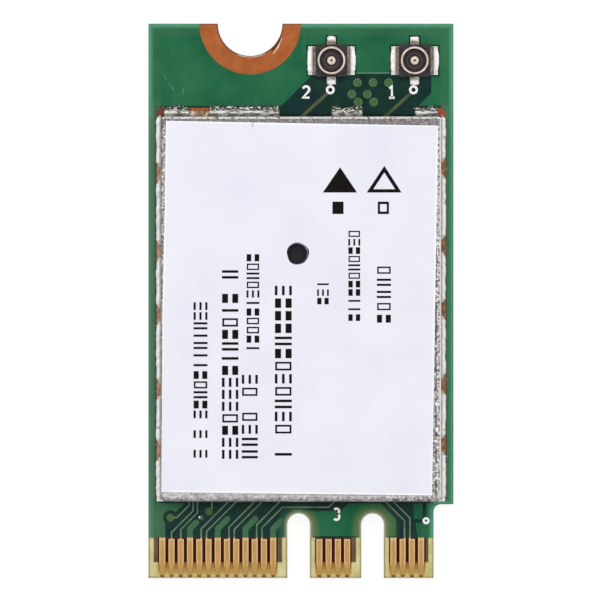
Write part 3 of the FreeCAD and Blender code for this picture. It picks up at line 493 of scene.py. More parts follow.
def coated_copper():
    """Green coat over ground copper: lighter along the edge, and on the face scratches and dull strips."""
    f = Finish("coated_copper", **COAT)
    edge, slot = f.edge_distance()
    cloud = f.noise(0.5, detail=4.0)
    main = f.shades(cloud, (0.3, (24, 92, 62)), (0.5, (31, 103, 68)), (0.72, (46, 112, 76)))
    face = f.rise(f.z, *BACK_TO_FACE)
    colour = f.lay(main, (78, 108, 80), f.rise(f.y, *NEAR_CONTACTS), f.rise(f.x, *LEFT_TAB), face, 0.6)
    beside_can = f.both(f.rise(f.y, *CAN_BEGINS), f.rise(f.y, *CAN_ENDS), face)
    olive = f.both(f.rise(edge, 0.2, 0.28), f.from_to(beside_can, 0.15, 0.8), f.rise(edge, 0.8, 0.5))
    colour = f.lay(colour, f.lay((88, 116, 90), (88, 124, 90), f.rise(f.x, *MIDDLE)), olive)
    dull = f.both(beside_can, f.rise(f.x, *LEFT_HALF))
    colour = f.lay(colour, f.lay((60, 136, 96), (84, 134, 102), dull), f.rise(edge, 0.3, 0.2))
    colour = f.slot_fade(colour, slot, f.lay((52, 106, 74), (96, 117, 66), f.rise(f.x, *PAST_FIRST_SLOT)))
    hair = f.noise(1.6, detail=5.0, spot=f.stretched(3.2, 0.25, 1.0), roughness=0.7)
    colour = f.lay(colour, (84, 146, 112), f.rise(hair, 0.6, 0.74), 0.2)
    scored = f.highest([f.scratch(start, end, SCRATCH_WIDTH) for start, end in SCRATCHES])
    colour = f.lay(colour, (124, 172, 144), scored, f.rise(hair, 0.35, 0.6), face, 0.5)
    first, last, line_y = POUR_LINE
    line = f.both(f.within(f.x, first, last, 0.1), f.within(f.y, line_y - 0.01, line_y + 0.06, 0.02))
    colour = f.lay(colour, (150, 176, 152), line, face, 0.5)
    f.relief(f.noise(5.0), 0.06, 0.01)
    return f.done(colour)


def coated_trace():
    """Green coat over thin traces: paler near the contacts, olive on the antenna lines, dark in the rings."""
    f = Finish("coated_trace", **COAT)
    cloud = f.noise(2.0)
    near = f.shades(cloud, (0.3, (82, 110, 90)), (0.7, (116, 142, 116)))
    antenna = f.shades(cloud, (0.3, (70, 84, 56)), (0.7, (92, 104, 70)))
    colour = f.lay(near, antenna, f.rise(f.y, *ANTENNA_LINES))
    ring = f.nearest(SILK_RINGS)
    return f.done(f.lay(colour, (30, 34, 32), f.rise(ring, 0.2, 0.12)))


def coated_via():
    """Green coat over a via: an olive cap whose middle dips over the filled hole."""
    f = Finish("coated_via", **COAT)
    centre = f.nearest(VIAS + SMALL_VIAS)
    cap = f.shades(f.noise(3.0), (0.3, (60, 94, 54)), (0.7, (78, 110, 66)))
    colour = f.lay(cap, (100, 126, 98), f.rise(centre, 0.13, 0.2), f.rise(f.noise(2.2), 0.3, 0.6), 0.75)
    colour = f.lay(colour, (78, 120, 62), f.rise(centre, 0.1, 0.06), 0.5)
    colour = f.lay(colour, (50, 88, 48), f.within(centre, 0.06, 0.13, 0.03), 0.5)
    colour = f.lay(colour, (46, 82, 60), f.rise(centre, VIA_R - 0.05, VIA_R), 0.6)
    f.relief(f.rise(centre, 0.06, 0.16), 0.5, 0.02)
    return f.done(colour)


def contact_gold():
    """Gold plating, brushed along the contacts, with a painted highlight along their flanks and a coppery
    nose.
    """
    f = Finish("contact_gold", roughness=0.38, metallic=0.7)
    along = f.math("FRACT", f.math("DIVIDE", f.x, PITCH))
    off = f.both(f.math("ABSOLUTE", f.minus(along, 0.5)), PITCH)
    # Painted highlight along the flanks of each contact, in its upper part.
    flank_glint = f.both(f.rise(off, FINGER_WIDTH / 2 - 0.08, FINGER_WIDTH / 2 - 0.02), f.rise(f.y, 0.5, 1.0))
    streak = f.noise(4.0, spot=f.stretched(6.0, 0.5, 1.0))
    gold = f.shades(streak, (0.3, (188, 140, 74)), (0.55, (202, 157, 93)), (0.75, (220, 181, 120)))
    colour = f.lay(gold, (244, 206, 160), flank_glint, 0.8)
    # Painted highlight across the contacts near their top ends.
    colour = f.lay(colour, (252, 226, 178), f.within(f.y, *CONTACT_CREST, 0.08), 0.4)
    colour = f.lay(colour, (64, 36, 14), f.within(f.x, *MIDDLE_TAB, 0.05), f.rise(f.y, 2.1, 2.15), 0.85)
    colour = f.lay(colour, (188, 145, 78), f.rise(f.y, 0.8, 0.2), 0.8)
    colour = f.lay(colour, (116, 64, 20), f.rise(f.y, 0.2, 0.15), 0.85)
    f.relief(streak, 0.2, 0.01)
    return f.done(colour)


def bare_copper():
    """Bare copper land round the screw seat: warm orange-brown, mottled, with painted dark shade along its
    routed edges.
    """
    f = Finish("bare_copper", roughness=0.5, metallic=0.5)
    cloud = f.noise(1.6, detail=5.0)
    colour = f.shades(cloud, (0.3, (160, 82, 32)), (0.5, (170, 91, 38)), (0.72, (180, 100, 48)))
    scratch = f.noise(2.4, detail=4.0, spot=f.stretched(3.0, 0.4, 1.0))
    colour = f.lay(colour, (186, 112, 62), f.rise(scratch, 0.6, 0.72), 0.3)
    radius = f.distance_to(*SEAT_CENTRE)
    # Painted shade: a dark line along the seat's edge and along the board's end.
    cut = f.highest([f.rise(radius, SEAT_R + 0.09, SEAT_R + 0.03), f.rise(f.y, *BOARD_END)])
    colour = f.lay(colour, (98, 50, 42), cut)
    glint = f.both(f.within(f.x, -0.75, 0.9, 0.2), f.within(radius, SEAT_R + 0.03, SEAT_R + 0.08, 0.015))
    colour = f.lay(colour, (240, 214, 196), glint, f.rise(f.y, *SEAT_FRONT), 0.8)
    # Painted shadow of the burr: a dark wedge beside it.
    burr_shadow = f.both(f.within(f.x, 1.1, 1.75, 0.1), f.rise(radius, SEAT_R + 0.22, SEAT_R + 0.1))
    colour = f.lay(colour, (72, 34, 20), burr_shadow, f.rise(f.y, *SEAT_SIDE))
    colour = f.lay(colour, (112, 50, 26), f.rise(f.upward(), 0.9, 0.5))
    f.relief(cloud, 0.2, 0.02)
    return f.done(colour)


def burr_copper():
    """Freshly torn copper, paler than the land: partly its own colour, partly a painted highlight."""
    return speckled("burr_copper", 8.0, (0.3, (214, 142, 92)), (0.6, (246, 206, 164)),
                    roughness=0.35, metallic=0.5)


def stub_copper():
    """Cut plating stubs: dull red-brown copper, stained dark."""
    return speckled("stub_copper", 7.0, (0.3, (96, 48, 14)), (0.7, (158, 98, 44)),
                    roughness=0.5, metallic=0.4)


def land_copper():
    """Copper of the can's lands where no solder took, stained by flux."""
    f = Finish("land_copper", roughness=0.5, metallic=0.4)
    cloud = f.noise(4.0, detail=4.0)
    colour = f.shades(cloud, (0.3, (140, 78, 48)), (0.5, (172, 112, 76)), (0.72, (206, 158, 124)))
    pale = f.shades(cloud, (0.3, (152, 100, 76)), (0.5, (190, 142, 116)), (0.72, (224, 192, 170)))
    colour = f.lay(colour, pale, f.rise(f.x, *LEFT_HALF))
    end = f.shades(cloud, (0.3, (128, 58, 34)), (0.6, (178, 96, 48)))
    left, right, _, far = f.inside_box("shield_pads")
    side = f.lowest([left, right])
    end = f.lay(end, (116, 50, 36), f.rise(left, 0.5, 0.35))
    end = f.lay(end, (164, 70, 42), f.rise(right, 0.5, 0.35))
    end = f.lay(end, (122, 114, 106), f.rise(f.x, -2.1, -1.9), f.rise(side, 0.5, 0.8))
    end = f.lay(end, (44, 100, 68), f.rise(f.math("ADD", side, far), 0.26, 0.2))
    wetted = f.shades(cloud, (0.42, (124, 80, 52)), (0.54, (170, 132, 100)), (0.68, (240, 230, 216)))
    end = f.lay(end, wetted, f.rise(f.y, *END_WETTED), f.rise(side, 0.6, 0.8))
    colour = f.lay(colour, end, f.rise(f.y, *END_LANDS))
    f.relief(cloud, 0.3, 0.02)
    return f.done(colour)


def bright_solder():
    """Solder: bright along the can's sides, greyer and stained by flux along its end."""
    f = Finish("bright_solder", roughness=0.26, metallic=0.15)
    frost = f.noise(4.5, detail=4.0, roughness=0.6)
    side = f.shades(frost, (0.3, (176, 166, 156)), (0.38, (248, 245, 240)), (0.6, (255, 255, 254)))
    flow = f.noise(4.5, detail=4.0, spot=f.stretched(0.5, 1.5, 1.0), roughness=0.6)
    end = f.shades(flow, (0.36, (92, 88, 80)), (0.48, (150, 148, 140)), (0.62, (214, 212, 204)))
    # Painted highlight: a white line along the crest of the end bead.
    end = f.lay(end, (255, 255, 250), f.within(f.y, *END_CREST, 0.06), f.rise(flow, 0.38, 0.5), 0.85)
    beaded = f.noise(7.0, detail=3.0, spot=f.stretched(1.0, 1.6, 1.0))
    dotted = f.shades(beaded, (0.45, (40, 42, 36)), (0.54, (122, 126, 116)), (0.62, (250, 248, 240)))
    end = f.lay(end, dotted, f.rise(f.y, *END_SPECKS))
    crack = f.noise(3.4, detail=4.0, spot=f.stretched(0.7, 2.4, 1.0), roughness=0.65)
    end = f.lay(end, (48, 44, 38), f.rise(crack, 0.55, 0.61), 0.8)
    colour = f.lay(side, end, f.rise(f.y, *END_LANDS), f.rise(f.y, *PAST_END_SOLDER))
    f.relief(frost, 0.5, 0.05)
    return f.done(colour)


def tinned_land():
    """Tinned pads: solder that has levelled, white with greyer patches."""
    return speckled("tinned_land", 5.0, (0.3, (176, 172, 166)), (0.48, (240, 238, 232)),
                    (0.7, (255, 253, 250)), bump=(0.4, 0.03), roughness=0.28, metallic=0.55)


def tinned_sheet():
    """Dull tinned sheet: grey with dark, white and violet-grey specks, with painted highlights and shade at
    its folds, and a broken dark line there.
    """
    f = Finish("tinned_sheet", roughness=0.4, metallic=0.4)
    left, right, front, far = f.inside_box("shield_can")
    grain = f.noise(6.0, detail=4.0, roughness=0.65)
    colour = f.shades(grain, (0.36, (60, 50, 52)), (0.45, (142, 134, 134)), (0.54, (200, 196, 196)),
                      (0.61, (255, 254, 254)))
    bloom = f.noise(2.6, detail=4.0)
    calm = f.shades(bloom, (0.34, (138, 128, 132)), (0.46, (192, 187, 189)), (0.6, (218, 215, 217)))
    calmed = f.from_to(f.rise(f.x, *CALM_SHEET), 0.65, 0.2)
    colour = f.lay(colour, calm, f.rise(front, 0.6, 0.4), calmed)
    colour = f.lay(colour, (172, 150, 166), f.rise(bloom, 0.56, 0.66), 0.4)
    colour = f.lay(colour, (214, 212, 212), f.within(front, 0.24, 0.5, 0.06), 0.3)
    colour = f.lay(colour, (74, 66, 68), f.within(front, 0.04, 0.26, 0.06), f.rise(grain, 0.48, 0.4), 0.6)
    side = f.lowest([left, right])
    lit = f.rise(f.x, *MIDDLE)
    # Painted highlight: white glints on the side bends, on the lit right half only.
    bend_glints = f.both(f.within(side, 0.06, 0.26, 0.06), f.rise(grain, 0.44, 0.54))
    colour = f.lay(colour, (240, 238, 236), bend_glints, lit, 0.4)
    broken = f.rise(f.noise(2.2, detail=3.0), 0.4, 0.52)
    # Painted shade: a broken dark line where the side bends begin, standing for a dark reflection, and the
    # label's shadow below its front edge.
    fold_shade = f.highest([f.both(f.within(side, 0.22, 0.36, 0.05), f.rise(front, 0.3, 0.4)),
                      f.both(f.within(front, 0.32, 0.42, 0.04), f.rise(side, 0.2, 0.3), 0.35)])
    colour = f.lay(colour, (58, 48, 50), fold_shade, broken, 0.85)
    colour = f.lay(colour, (110, 104, 106), f.rise(far, 0.55, 0.45), f.rise(far, 0.1, 0.16), 0.75)
    # Painted highlight along the bend at the can's far end.
    colour = f.lay(colour, (255, 255, 252), f.rise(far, 0.16, 0.1), f.rise(grain, 0.38, 0.48), 0.95)
    # Painted shade on the bend along the can's front.
    colour = f.lay(colour, (88, 84, 84), f.rise(front, 0.18, 0.0), 0.6)
    # Painted highlight on the outer edge of the side bends, on the lit right half.
    colour = f.lay(colour, (252, 250, 246), f.rise(side, 0.12, 0.05), f.rise(front, 0.2, 0.3), lit, 0.8)
    # Painted shade along the cut front-left corner.
    colour = f.lay(colour, (60, 48, 48), f.rise(f.math("ADD", left, front), 0.36, 0.28), 0.9)
    wall = f.shades(bloom, (0.34, (128, 122, 120)), (0.5, (164, 158, 155)), (0.64, (186, 181, 178)))
    upward = f.upward()
    colour = f.lay(colour, wall, f.rise(upward, 0.5, 0.2))
    # Painted shade on the steep facets of the left bend.
    colour = f.lay(colour, (84, 72, 70), f.within(upward, 0.02, 0.75, 0.15), f.rise(left, 0.16, 0.1), 0.55)
    vent = f.rise(f.distance_to(*HOLE_CENTRE), 0.8, 0.72)
    colour = f.lay(colour, f.shades(bloom, (0.4, (44, 38, 54)), (0.62, (150, 146, 172))), vent)
    f.relief(grain, 0.5, 0.04)
    return f.done(colour)


def label_film():
    """Matt white film, very slightly violet, with a faint paper tooth and a whiter cut border."""
    f = Finish("label_film", roughness=0.55, gloss=0.25)
    tooth = f.noise(0.35, detail=3.0)
    colour = f.shades(tooth, (0.3, (233, 233, 245)), (0.7, (240, 240, 249)))
    border = f.add("ShaderNodeAttribute", attribute_name="border").outputs["Fac"]
    colour = f.lay(colour, (252, 252, 254), f.rise(border, 0.0, 0.7))
    f.relief(f.noise(14.0), 0.05, 0.01)
    return f.done(colour)


def print_ink():
    """Black print on the label, a little worn."""
    return speckled("print_ink", 12.0, (0.3, (14, 9, 9)), (0.62, (26, 20, 20)), (0.8, (56, 48, 48)),
                    roughness=0.6, gloss=0.06)


def hair_dust():
    """Grey of the stray hair."""
    return speckled("hair_dust", 14.0, (0.3, (120, 118, 124)), (0.7, (176, 174, 182)),
                    roughness=0.7, gloss=0.2)


def silk_ink():
    """White print on the board, grained by the screen."""
    return speckled("silk_ink", 10.0, (0.3, (220, 228, 224)), (0.5, (250, 252, 250)), bump=(0.2, 0.01),
                    roughness=0.5, gloss=0.25)


def black_moulding():
    """The jacks' moulded insulator: black-brown, faintly grained, with a paler ring in the well."""
    f = Finish("black_moulding", roughness=0.45, gloss=0.2)
    grain = f.noise(6.0, detail=4.0)
    colour = f.shades(grain, (0.3, (42, 38, 41)), (0.7, (66, 61, 64)))
    centre = f.nearest(JACKS)
    colour = f.lay(colour, (108, 88, 80), f.within(centre, 0.34, 0.46, 0.04), f.rise(f.z, *WELL_FLOOR), 0.45)
    f.relief(grain, 0.2, 0.02)
    return f.done(colour)


def jack_plating():
    """Pale gold flash on the jacks' rings, duller below them and darkest on the collar."""
    f = Finish("jack_plating", roughness=0.3, metallic=0.55)
    tint = f.noise(3.0, detail=3.0)
    colour = f.shades(tint, (0.3, (214, 190, 166)), (0.55, (236, 222, 206)), (0.75, (250, 242, 232)))
    dull = f.shades(f.noise(5.0), (0.35, (104, 90, 84)), (0.65, (160, 146, 136)))
    colour = f.lay(colour, dull, f.rise(f.z, *JACK_RING_FOOT))
    colour = f.lay(colour, (84, 62, 48), f.within(f.z, *JACK_COLLAR, 0.03))
    f.relief(tint, 0.15, 0.01)
    return f.done(colour)


def jack_pin_plating():
    """The centre contact: bright, with a dark spot in its crown, painted shade that stands for a dimple, and
    a tinned tail.
    """
    f = Finish("jack_pin_plating", roughness=0.26, metallic=0.05)
    tint = f.noise(6.0)
    colour = f.shades(tint, (0.3, (244, 228, 206)), (0.6, (255, 248, 236)))
    centre = f.nearest(JACKS)
    # Painted shade: a dark spot in the crown standing for a dimple.
    colour = f.lay(colour, (112, 82, 60), f.rise(centre, 0.11, 0.05))
    tail = f.shades(f.noise(7.0, detail=4.0), (0.35, (118, 110, 106)), (0.6, (214, 210, 204)))
    colour = f.lay(colour, tail, f.rise(centre, 0.5, 0.6))
    return f.done(colour)


def moulded_package():
    """Black epoxy of the chips, with a fine matt grain."""
    return speckled("moulded_package", 16.0, (0.3, (30, 26, 32)), (0.7, (48, 43, 50)), bump=(0.25, 0.01),
                    roughness=0.6, gloss=0.2)


def ceramic(name, dark, light, roughness):
    """Fired ceramic of a chip part, speckled between two shades."""
    return speckled(name, 11.0, (0.3, dark), (0.7, light), detail=4.0, bump=(0.2, 0.01), roughness=roughness)


def dress(node, material):
    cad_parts[node].material_slots[0].material = material


def piece(name, mesh, material):
    """A finished piece at the origin, riding on the card."""
    mesh.materials.clear()
    mesh.materials.append(material)
    made = bpy.data.objects.new(name, mesh)
    bpy.context.scene.collection.objects.link(made)
    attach(made, "root")
    return made


def mesh_of(name, points, faces):
    """A mesh from points in millimetres, with its faces turned outwards."""
    mesh = bpy.data.meshes.new(name)
    mesh.from_pydata([Vector(p) * MM for p in points], [], faces)
    bm = bmesh.new()
    bm.from_mesh(mesh)
    bmesh.ops.recalc_face_normals(bm, faces=bm.faces)
    bm.to_mesh(mesh)
    bm.free()
    return mesh


def joined(name, meshes):
    bm = bmesh.new()
    for mesh in meshes:
        bm.from_mesh(mesh)
    whole = bpy.data.meshes.new(name)
    bm.to_mesh(whole)
    bm.free()
    return whole


def slab(outline, z0, z1):
    """A plan outline raised from z0 to z1."""
    count = len(outline)
    points = [(x, y, z) for z in (z1, z0) for x, y in outline]
    faces = [tuple(range(count)), tuple(range(2 * count - 1, count - 1, -1))]
    faces += [(i, (i + 1) % count, count + (i + 1) % count, count + i) for i in range(count)]
    return mesh_of("slab", points, faces)


def ring_slab(loops, z0, z1):
    """A flat ring between plan loops of equal count, from the inside out, raised from z0 to z1."""
    count = len(loops[0])
    points = [(x, y, z1) for loop in loops for x, y in loop]
    outer, low = len(points) - count, len(points)
    points += [(x, y, z0) for loop in (loops[0], loops[-1]) for x, y in loop]
    faces = []
    for i in range(count):
        j = (i + 1) % count
        faces += [(k + i, k + j, k + count + j, k + count + i) for k in range(0, outer, count)]
        faces += [(low + i, low + count + i, low + count + j, low + j), (i, low + i, low + j, j),
                  (outer + i, outer + j, low + count + j, low + count + i)]
    return mesh_of("ring_slab", points, faces)


def circle(x, y, radius, count):
    turns = [i * math.tau / count for i in range(count)]
    return [(x + radius * math.cos(turn), y + radius * math.sin(turn)) for turn in turns]


def arc(x, y, radius, start, stop, count=12):
    """Points along an arc between two angles in degrees."""
    turns = [math.radians(start + (stop - start) * i / count) for i in range(count + 1)]
    return [(x + radius * math.cos(turn), y + radius * math.sin(turn)) for turn in turns]


def band(points, widths, z0, z1):
    """A flat stroke along points, with a width at each of them."""
    steps = [(Vector(b) - Vector(a)).normalized() for a, b in zip(points, points[1:])]
    left, right = [], []
    for i, (point, width) in enumerate(zip(points, widths)):
        before, after = steps[max(i - 1, 0)], steps[min(i, len(steps) - 1)]
        along = (before + after).normalized()
        reach = width / 2 / max(along.dot(after), MITRE_LIMIT)
        across = Vector((-along.y, along.x)) * reach
        left.append(Vector(point) + across)
        right.append(Vector(point) - across)
    return slab([tuple(p) for p in left + right[::-1]], z0, z1)


def grown(mesh, tree, inputs):
    """The plain mesh that a Geometry Nodes tree makes of a start mesh, with the named inputs set."""
    carrier = bpy.data.objects.new("carrier", mesh)
    bpy.context.scene.collection.objects.link(carrier)
    modifier = carrier.modifiers.new("grow", "NODES")
    modifier.node_group = tree
    for item in tree.interface.items_tree:
        if item.in_out == "INPUT" and item.name in inputs:
            modifier[item.identifier] = inputs[item.name]
    seen = carrier.evaluated_get(bpy.context.evaluated_depsgraph_get())
    made = bpy.data.meshes.new_from_object(seen)
    carrier.modifiers.remove(modifier)
    bpy.data.objects.remove(carrier)
    return made


class Growth(Wiring):
    """A Geometry Nodes tree with named sizes. It ends in Realize Instances and Set Material."""

    def __init__(self, name, *sizes):
        tree = bpy.data.node_groups.new(name, "GeometryNodeTree")
        super().__init__(tree)
        tree.interface.new_socket("Geometry", in_out="OUTPUT", socket_type="NodeSocketGeometry")
        tree.interface.new_socket("Start", in_out="INPUT", socket_type="NodeSocketGeometry")
        for size in sizes:
            tree.interface.new_socket(size, in_out="INPUT", socket_type="NodeSocketFloat")
        tree.interface.new_socket("Seed", in_out="INPUT", socket_type="NodeSocketInt")
        tree.interface.new_socket("Finish", in_out="INPUT", socket_type="NodeSocketMaterial")
        self.given = self.add("NodeGroupInput").outputs

    def xyz(self, x=0.0, y=0.0, z=0.0):
        return self.add("ShaderNodeCombineXYZ", {"X": x, "Y": y, "Z": z}).outputs[0]

    def block(self, x, y, z):
        return self.add("GeometryNodeMeshCube", {"Size": self.xyz(x, y, z)}).outputs[0]

    def moved(self, geometry, **inputs):
        return self.add("GeometryNodeTransform", {"Geometry": geometry, **inputs}).outputs[0]

    def gathered(self, kind, geometries):
        """Several geometries into one node that takes them all."""
        node = self.add(kind)
        for geometry in geometries:
            self.tree.links.new(geometry, node.inputs[0])
        return node.outputs[0]

    def random(self, kind, **inputs):
        """A seeded random value for each point."""
        node = self.add("FunctionNodeRandomValue", data_type=kind)
        inputs["Seed"] = self.given["Seed"]
        for socket in node.inputs:
            if socket.enabled and socket.name in inputs:
                self.feed(socket, inputs[socket.name])
        return next(output for output in node.outputs if output.enabled)

    def line(self):
        """The start mesh's edges as a curve."""
        return self.add("GeometryNodeMeshToCurve", {"Mesh": self.given["Start"]}).outputs[0]

    def close(self, geometry):
        real = self.add("GeometryNodeRealizeInstances", {0: geometry}).outputs[0]
        coloured = self.add("GeometryNodeSetMaterial", {"Geometry": real, "Material": self.given["Finish"]})
        self.add("NodeGroupOutput", {0: coloured.outputs[0]})
        return self.tree


def print_row_tree():
    """Sets one of a few plain marks at each step along the rows, picked by a fixed seed."""
    g = Growth("print_rows", "Stroke", "Ink")
    stroke, ink = g.given["Stroke"], g.given["Ink"]
    tall, wide, inset = MARK_TALL * MM, MARK_WIDE * MM, MARK_INSET * MM
    section = g.add("GeometryNodeCurvePrimitiveQuadrilateral", {"Width": stroke, "Height": ink}).outputs[0]

    outline = g.add("GeometryNodeCurvePrimitiveQuadrilateral", {
        "Width": wide - inset * 2, "Height": tall - inset * 2}).outputs[0]
    open_mark = g.add("GeometryNodeCurveToMesh", {"Curve": outline, "Profile Curve": section}).outputs[0]
    bar = g.block(wide, stroke, ink)
    half = g.block(wide, tall * HALF_TALL, ink)
    post = g.block(stroke, tall, ink)
    bars = [g.moved(bar, Translation=(0.0, y * MM, 0.0)) for y in MARK_STEPS]
    halves = [g.moved(half, Translation=(0.0, y * MM, 0.0)) for y in MARK_HALVES]
    posts = [g.moved(post, Translation=(x * MM, 0.0, 0.0)) for x in MARK_POSTS]
    marks = [post, open_mark]
    marks += [g.gathered("GeometryNodeJoinGeometry", group) for group in (bars, halves, posts)]
    named = g.add("GeometryNodeInputNamedAttribute", {"Name": "mark_height"}, data_type="FLOAT")
    size = named.outputs["Attribute"]
    step = g.both(size, MARK_PITCH * MM)
    spaced = g.add("GeometryNodeResampleCurve", {"Curve": g.line(), "Length": step}, mode="LENGTH").outputs[0]
    points = g.add("GeometryNodeCurveToPoints", {"Curve": spaced}, mode="EVALUATED").outputs[0]
    placed = g.add("GeometryNodeInstanceOnPoints", {
        "Points": points, "Instance": g.gathered("GeometryNodeGeometryToInstance", marks),
        "Pick Instance": True, "Instance Index": g.random("INT", Min=0, Max=len(marks) - 1),
        "Selection": g.random("BOOLEAN", Probability=MARK_CHANCE), "Rotation": g.xyz(z=math.pi / 2),
        "Scale": g.xyz(size, size, 1.0)})
    return g.close(placed.outputs[0])


def solder_bead_tree():
    """Runs a fillet of solder along each line, swelling and thinning as heated solder does."""
    g = Growth("solder_beads", "Reach", "Height", "Step", "Unevenness", "Taper")
    reach = g.given["Reach"]
    drop = g.both(g.given["Height"], -1.0)                # a section's own Y points down
    out, up = BEAD_SHOULDER
    shoulder = g.xyz(g.both(reach, out), g.both(drop, up))
    section = g.add("GeometryNodeCurvePrimitiveQuadrilateral", {
        "Point 1": (0.0, 0.0, 0.0), "Point 2": g.xyz(reach), "Point 3": shoulder, "Point 4": g.xyz(y=drop)},
        mode="POINTS").outputs[0]
    fine = g.add("GeometryNodeResampleCurve", {"Curve": g.line(), "Length": g.given["Step"]}, mode="LENGTH")
    upright = g.add("GeometryNodeSetCurveNormal", {"Curve": fine.outputs[0]}, mode="Z_UP").outputs[0]
    wave = g.add("ShaderNodeTexNoise", {"Scale": BEAD_WAVE, "Detail": 3.0}).outputs["Fac"]
    swell = g.minus(1.0, g.both(g.given["Unevenness"], g.rise(wave, *BEAD_WAVE_LIMITS)))
    along = g.add("GeometryNodeSplineParameter").outputs["Length"]
    whole = g.add("GeometryNodeSplineLength").outputs["Length"]
    to_end = g.math("MINIMUM", along, g.minus(whole, along))
    swell = g.both(swell, g.from_to(g.rise(to_end, 0.0, g.given["Taper"]), BEAD_TIP, 1.0))
    body = g.add("GeometryNodeCurveToMesh", {"Curve": upright, "Profile Curve": section, "Scale": swell,
                                             "Fill Caps": True}).outputs[0]
    return g.close(g.add("GeometryNodeSetShadeSmooth", {0: body}).outputs[0])


def solder_ball_tree():
    """Strews small balls of solder along lines, each of its own size and a little off the line."""
    g = Growth("solder_balls", "Radius", "Step", "Drift")
    points = g.add("GeometryNodeCurveToPoints", {"Curve": g.line(), "Length": g.given["Step"]}, mode="LENGTH")
    aside = g.random("FLOAT_VECTOR", Min=(-1.0, -1.0, 0.0), Max=(1.0, 1.0, 0.0))
    drift = g.add("ShaderNodeVectorMath", {0: aside, "Scale": g.given["Drift"]}, operation="SCALE").outputs[0]
    strewn = g.add("GeometryNodeSetPosition", {"Geometry": points.outputs[0], "Offset": drift}).outputs[0]
    ball = g.add("GeometryNodeMeshIcoSphere", {"Radius": g.given["Radius"], "Subdivisions": 2}).outputs[0]
    least, most = BALL_SIZES
    placed = g.add("GeometryNodeInstanceOnPoints", {
        "Points": strewn, "Instance": ball, "Selection": g.random("BOOLEAN", Probability=BALL_CHANCE),
        "Scale": g.random("FLOAT", Min=least, Max=most)})
    return g.close(g.add("GeometryNodeSetShadeSmooth", {0: placed.outputs[0]}).outputs[0])


def plating_stub_tree():
    """Lays a short stub on the bevel under each contact's tip, each cut to its own width and length."""
    g = Growth("plating_stubs", "Width", "Length", "Thickness", "Lean")
    stub = g.block(g.given["Width"], g.given["Length"], g.given["Thickness"])
    cut = g.random("FLOAT_VECTOR", Min=STUB_LEAST, Max=STUB_MOST)
    placed = g.add("GeometryNodeInstanceOnPoints", {"Points": g.given["Start"], "Instance": stub,
                                                    "Rotation": g.xyz(g.given["Lean"]), "Scale": cut})
    return g.close(placed.outputs[0])


def solids_of(node, above=0.0):
    """Boxes of a node's separate solids, in millimetres, but not of those within a height of its foot."""
    bm = bmesh.new()
    bm.from_mesh(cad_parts[node].data)
    bmesh.ops.remove_doubles(bm, verts=bm.verts, dist=WELD)
    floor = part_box(node)[0][2] + above * MM + NEAR
    flat = [face for face in bm.faces if max(vert.co.z for vert in face.verts) < floor]
    bmesh.ops.delete(bm, geom=flat, context="FACES")
    left = set(bm.verts)
    boxes = []
    while left:
        front = [left.pop()]
        group = []
        while front:
            vert = front.pop()
            group.append(vert.co / MM)
            for edge in vert.link_edges:
                other = edge.other_vert(vert)
                if other in left:
                    left.remove(other)
                    front.append(other)
        boxes.append((Vector(map(min, zip(*group))), Vector(map(max, zip(*group)))))
    bm.free()
    return sorted(boxes, key=lambda box: tuple(box[0]))


def lines_at(runs, z):
    """A mesh of loose lines, from (start, end) plan points at one height."""
    points, edges = [], []
    for run in runs:
        edges.append((len(points), len(points) + 1))
        points += [Vector((x, y, z)) * MM for x, y in run]
    mesh = bpy.data.meshes.new("lines")
    mesh.from_pydata(points, edges, [])
    return mesh


def bead_lines(boxes, centre):
    """One line per bead along its heel, run so that the bead lies outward of the centre given."""
    runs = []
    for low, high in boxes:
        middle = (low + high) / 2
        if high.y - low.y > high.x - low.x:
            if middle.x > centre.x:
                runs.append(((low.x, low.y), (low.x, high.y)))
            else:
                runs.append(((high.x, high.y), (high.x, low.y)))
        elif middle.y > centre.y:
            runs.append(((high.x, low.y), (low.x, low.y)))
        else:
            runs.append(((low.x, high.y), (high.x, high.y)))
    return lines_at(runs, boxes[0][0].z)


def beads_round(boxes, centre, tree, solder):
    """Uneven beads in the boxes of plain ones, along both plan directions."""
    groups = {0: [], 1: []}
    for low, high in boxes:
        groups[0 if high.y - low.y > high.x - low.x else 1].append((low, high))
    beads = []
    for reach_axis, group in groups.items():
        if group:
            size = group[0][1] - group[0][0]
            beads.append(grown(bead_lines(group, centre), tree, {
                "Reach": size[reach_axis] * BEAD_SPREAD * MM, "Height": size.z * MM, "Step": BEAD_STEP * MM,
                "Unevenness": BEAD_UNEVENNESS, "Taper": (SIDE_TAPER, END_TAPER)[reach_axis] * MM,
                "Finish": solder}))
    return beads


def solder_pool(rim, wall, front, relief, foot):
    """Solder domed over the open corner between a land's edge and the can's cut corner."""
    out = math.copysign(1.0, rim - wall)
    outline = [Vector((rim, front)), Vector((wall - out * relief, front)), Vector((wall, front + relief)),
               Vector((rim, front + relief))]
    middle = sum(outline, Vector((0.0, 0.0))) / len(outline)
    points = []
    for spread, lift in POOL_RINGS:
        points += [(*(middle + (p - middle) * spread), foot + POOL_HEIGHT * lift) for p in outline]
    count = len(outline)
    faces = [tuple(range(count)), tuple(range(len(points) - count, len(points)))]
    for k in range(0, len(points) - count, count):
        for i in range(count):
            j = (i + 1) % count
            faces.append((k + i, k + j, k + count + j, k + count + i))
    return mesh_of("solder_pool", points, faces)


